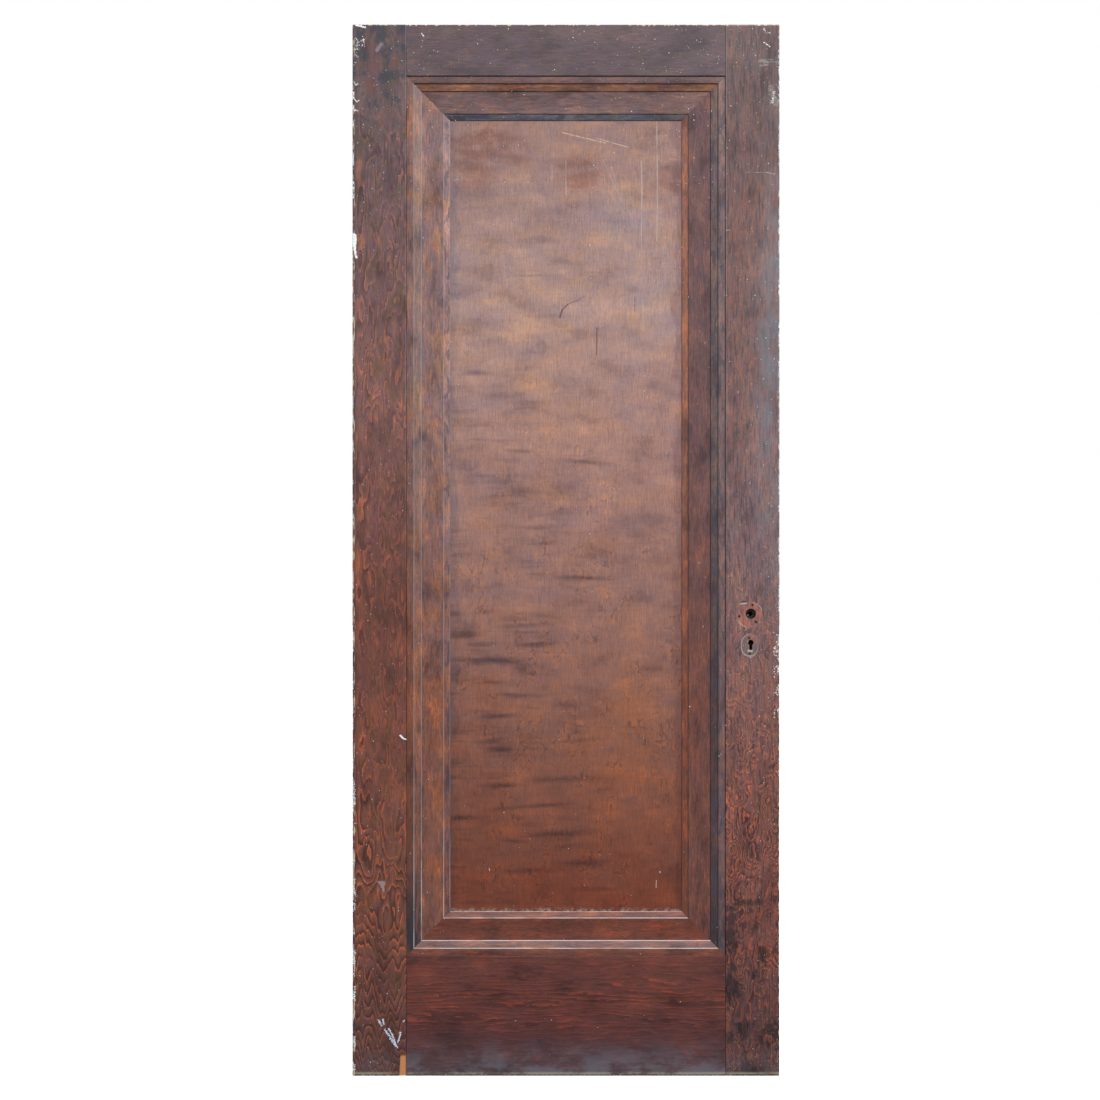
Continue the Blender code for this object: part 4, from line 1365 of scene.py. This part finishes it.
def lay_contours(surface):
    """The sliced veneer's thin ragged contour lines, and the orange wood beside them."""
    tree = surface.tree
    teeth = (surface.noise(0.0024, 0.010, 57.0, detail=1.0) - 0.5) * CONTOUR_TEETH
    spot = tree.vector("ADD", surface.place, tree.scaled((0, 0, 1), teeth))
    level = surface.noise(0.06, 0.09, 58.0, detail=3.0, rough=0.55, place=spot)
    turn = tree.math("FRACT", level * CONTOURS)
    place = surface.noise(0.05, 0.08, 59.0).ease(0.44, 0.62, 0.05, 1.0)
    clear = surface.high.ease(0.8, 1.3, 0.8, 0.3)
    surface.stain(turn.ease(0.78, 0.93) * turn.ease(1.0, 0.96) * place * clear * 0.7, SMUDGE)
    surface.stain(turn.ease(0.0, 0.04) * turn.ease(0.35, 0.06) * place * clear, GILDED)


def moulding_material(name, side, seed):
    """A moulding's wood: each face of its section has its own stain, with painted shade and painted sky
    sheen by which way it faces and how high it stands.
    """
    along = "X" if side in ("top", "bottom") else "Z"
    surface = Surface(name, along)
    tree = surface.tree
    across = tree.use("ShaderNodeAttribute", output="Fac", attribute_name="across")
    head, foot = (tree.ramp(across / MOULDING_WIDTH, face_stops(tints), "CONSTANT")
                  for tints in MOULDING_TINTS[side])
    # Paler and greyer towards the head: painted sky sheen on the varnish
    brown = tree.mix(surface.high.ease(0.6, 1.4), foot, head)
    wood = Wood(along, seed, figure=0.35, cloud=0.8, cloud_size=(0.03, 0.07), hues=0.3,
                wander=(0.02, 0.1, 4.0), flame=0.014)
    span = surface.x if along == "Z" else surface.high
    figured_wood(surface, wood, brown, 1.0, span / MOULDING_RING)
    gold = surface.grain(0.05, 0.05, seed + 16, detail=3.0)
    surface.stain(gold.ease(0.5, 0.64, 0.0, GOLD_SHARE[side]), GILDED)
    surface.stain(gold.ease(0.48, 0.36, 0.0, 0.9), COOL)
    if along == "Z":
        low = surface.grain(0.01, 0.05, seed + 17, detail=3.0).ease(0.35, 0.55, 0.5, 1.0)
        low = surface.high.ease(0.48, 0.28) * low * (across < FACES[1])
        surface.lay(low * (0.9 if side == "left" else 0.4), FOOT_SOOT)
    if side in BLOTTED:
        start, end = BLOTTED[side]
        blots = surface.grain(0.012, 0.03, seed + 15, detail=4.0, rough=0.6).ease(0.52, 0.60)
        surface.lay(blots * (across > start) * (across < end) * 0.6, BLOT)
    # Painted shadow and painted highlight lines along the section's small edges
    lay_step_shade_and_highlights(surface, across, side, seed)
    return surface.finish()


def face_stops(tints):
    """Stops of a ramp over the moulding's width, one for each face."""
    return [(start / MOULDING_WIDTH, tint(*colour)) for start, colour in zip((0.0, *FACES), tints)]


def lay_step_shade_and_highlights(surface, across, side, seed):
    """Painted shadow, painted highlight and pale dust along the moulding's small edges."""
    colour, strength, half_width = STEP_SHADE_AND_HIGHLIGHTS[side]
    # Low down, the left's painted highlight turns to the bottom's pale dust with painted highlight
    if side == "left":
        low = surface.high.ease(0.55, 0.30)
        colour = surface.tree.mix(low, colour, STEP_SHADE_AND_HIGHLIGHTS["bottom"][0])
    nearest = abs(across)
    for edge in (*FACES, MOULDING_WIDTH):
        nearest = nearest.at_most(abs(across - edge))
    broken = surface.grain(0.01, 0.05, seed + 20, detail=4.0).ease(0.3, 0.55, 0.35, 1.0)
    # Painted shadow, painted highlight and pale dust along each edge of the section
    surface.lay(nearest.ease(half_width, 0.3 * half_width) * broken * strength, colour)


def iron_material(name, colour, rust):
    surface = Surface(name)
    surface.colour = colour
    surface.lay(surface.noise(0.004, 0.004, 60.0, detail=4.0).ease(0.45, 0.65), rust)
    # A painted glint on the hub beside its spindle hole
    glint = surface.patch(KNOB_X - 0.0044, KNOB_HEIGHT - 0.0028, GLINT_REACH, GLINT_REACH)
    surface.lay(glint, PAINTED_GLINT)
    surface.rough = surface.noise(0.002, 0.002, 61.0, detail=3.0).ease(0.3, 0.7, 0.45, 0.7)
    surface.lift(surface.noise(0.0015, 0.0015, 62.0, detail=4.0), 0.0001)
    return surface.finish()


def paint_material(name, colour, soiled):
    surface = Surface(name)
    surface.colour = colour
    soil = surface.noise(0.006, 0.006, 65.0, detail=4.0).ease(0.5, 0.7, 0.0, 0.6)
    surface.lay(soil, soiled)
    surface.rough = 0.55
    surface.lift(surface.noise(0.001, 0.001, 66.0, detail=3.0), 0.00005)
    return surface.finish()


# The room


def floor():
    signs = ((-1, -1), (1, -1), (1, 1), (-1, 1))
    piece = rectangle("floor", [
        (FLOOR_REACH * x, FLOOR_REACH * y, LOW.z - FLOOR_GAP) for x, y in signs])
    surface = Surface("pale_floor")
    surface.colour = FLOOR_PAINT
    surface.rough = 0.9
    material = surface.finish()
    shader = material.node_tree.nodes["Principled BSDF"]
    shader.inputs["Emission Color"].default_value = (1.0, 1.0, 1.0, 1.0)
    shader.inputs["Emission Strength"].default_value = FLOOR_GLOW
    piece.data.materials.append(material)
    piece.visible_diffuse = False
    piece.visible_glossy = False


def sky():
    """White to the camera; to the door a bright cool sky over a dim warm ground."""
    world = bpy.data.worlds.new("sky")
    bpy.context.scene.world = world
    world.use_nodes = True
    world.node_tree.nodes.clear()
    tree = Tree(world.node_tree)
    _, _, up = tree.split(tree.use("ShaderNodeTexCoord", output="Generated"))
    light = tree.ramp(up * 0.5 + 0.5, SKY_STOPS)
    lit = tree.use("ShaderNodeBackground", {"Color": light, "Strength": SKY_STRENGTH})
    white = tree.use("ShaderNodeBackground", {"Color": (1, 1, 1, 1), "Strength": 1.0})
    seen = tree.use("ShaderNodeLightPath", output="Is Camera Ray")
    both = tree.use("ShaderNodeMixShader", {0: seen, 1: lit, 2: white})
    tree.add("ShaderNodeOutputWorld", {"Surface": both})


def key_light():
    data = bpy.data.lights.new("key", "AREA")
    data.energy = KEY_POWER
    data.color = KEY_COLOUR
    data.size = KEY_SIZE
    light = link("key", data)
    light.location = KEY_PLACE
    aim = Vector((WIDTH / 2, 0.0, 0.0)) - light.location
    light.rotation_euler = aim.to_track_quat("-Z", "Y").to_euler()


def camera():
    data = bpy.data.cameras.new("camera")
    data.sensor_width = SENSOR
    data.lens = SENSOR * CAMERA_DISTANCE / FRAME_SIDE
    view = link("camera", data)
    view.location = (CAMERA_X, FRONT - CAMERA_DISTANCE, CAMERA_Z)
    view.rotation_euler = (math.pi / 2, 0.0, 0.0)
    bpy.context.scene.camera = view
    bpy.context.scene.view_settings.view_transform = "Standard"


# The door


def dress(piece, material):
    if piece.material_slots:
        piece.material_slots[0].material = material
    else:
        piece.data.materials.append(material)


def boards():
    parts = (
        ("hinge_stile", "Z", LOW.x, OPENING_LEFT, 1, hinge_stile_material()),
        ("lock_stile", "Z", HIGH.x, OPENING_RIGHT, 2, lock_stile_material()),
        ("top_rail", "X", HIGH.z, OPENING_TOP, 3,
         rail_material("top_rail_wood", TOP_WOOD, TOP_BROWN, 70.0)),
        ("bottom_rail", "X", LOW.z, OPENING_BOTTOM, 4,
         rail_material("bottom_rail_wood", BOTTOM_WOOD, BOTTOM_BROWN, 75.0, dusty=True)),
    )
    made = []
    for node, along, outer, inner, seed, material in parts:
        piece = worn_board(node, along, outer, inner, seed)
        dress(piece, material)
        made.append(piece)
    return made


def mouldings():
    group = mitred_length_group()
    section = outline_object("section", moulding_profile())
    made = []
    for seed, side in enumerate(("top", "bottom", "left", "right")):
        for front in (True, False):
            name = ("front" if front else "back") + "_moulding_" + side
            material = moulding_material(name + "_wood", side, 80.0 + 7 * seed + 3 * front)
            piece = moulding(name, group, section, side, front, material, float(seed))
            if front:
                made.append(piece)
    bpy.data.objects.remove(section)
    return made


def paint(pieces):
    carrier = joined_copy(pieces)
    white = paint_material("white_paint", WHITE_PAINT, SOILED_PAINT)
    blue = paint_material("smeared_paint", BLUE_PAINT, SOILED_BLUE)
    field = field_object()
    paint_piece("paint_flecks", fleck_group(), {
        "Carrier": carrier, "Field": field, "Seed": 5, "Material": white})
    rows = stroke_group()
    for name, strokes, spacing, size, cover, seed, material in (
            ("edge_paint", EDGE_STROKES, 0.0006, 0.0006, 0.47, 11, white),
            ("splashed_paint", SPLASHES, 0.0005, 0.0005, 0.50, 14, white),
            ("thick_paint", THICK_STROKES, 0.0003, 0.0009, 0.95, 12, white),
            ("paint_ticks", TICKS, 0.0006, 0.0004, 0.95, 15, white),
            ("smeared_paint", SMEARS, 0.0004, 0.0007, 0.51, 13, blue)):
        lines = strokes_object(strokes)
        paint_piece(name, rows, {
            "Carrier": carrier, "Strokes": lines, "Spacing": spacing, "Cover": cover, "Size": size,
            "Seed": seed, "Material": material})
        bpy.data.objects.remove(lines)
    bpy.data.objects.remove(carrier)
    bpy.data.objects.remove(field)


def main():
    camera()
    sky()
    key_light()
    floor()
    front_pieces = boards() + mouldings()
    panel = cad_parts["panel"]
    dress(panel, panel_material())
    iron = iron_material("lock_iron", IRON, RUST)
    for node in ("lock_case", "lock_hub", "lock_screw_lower", "lock_screw_upper"):
        dress(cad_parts[node], iron)
    paint(front_pieces + [panel])


main()
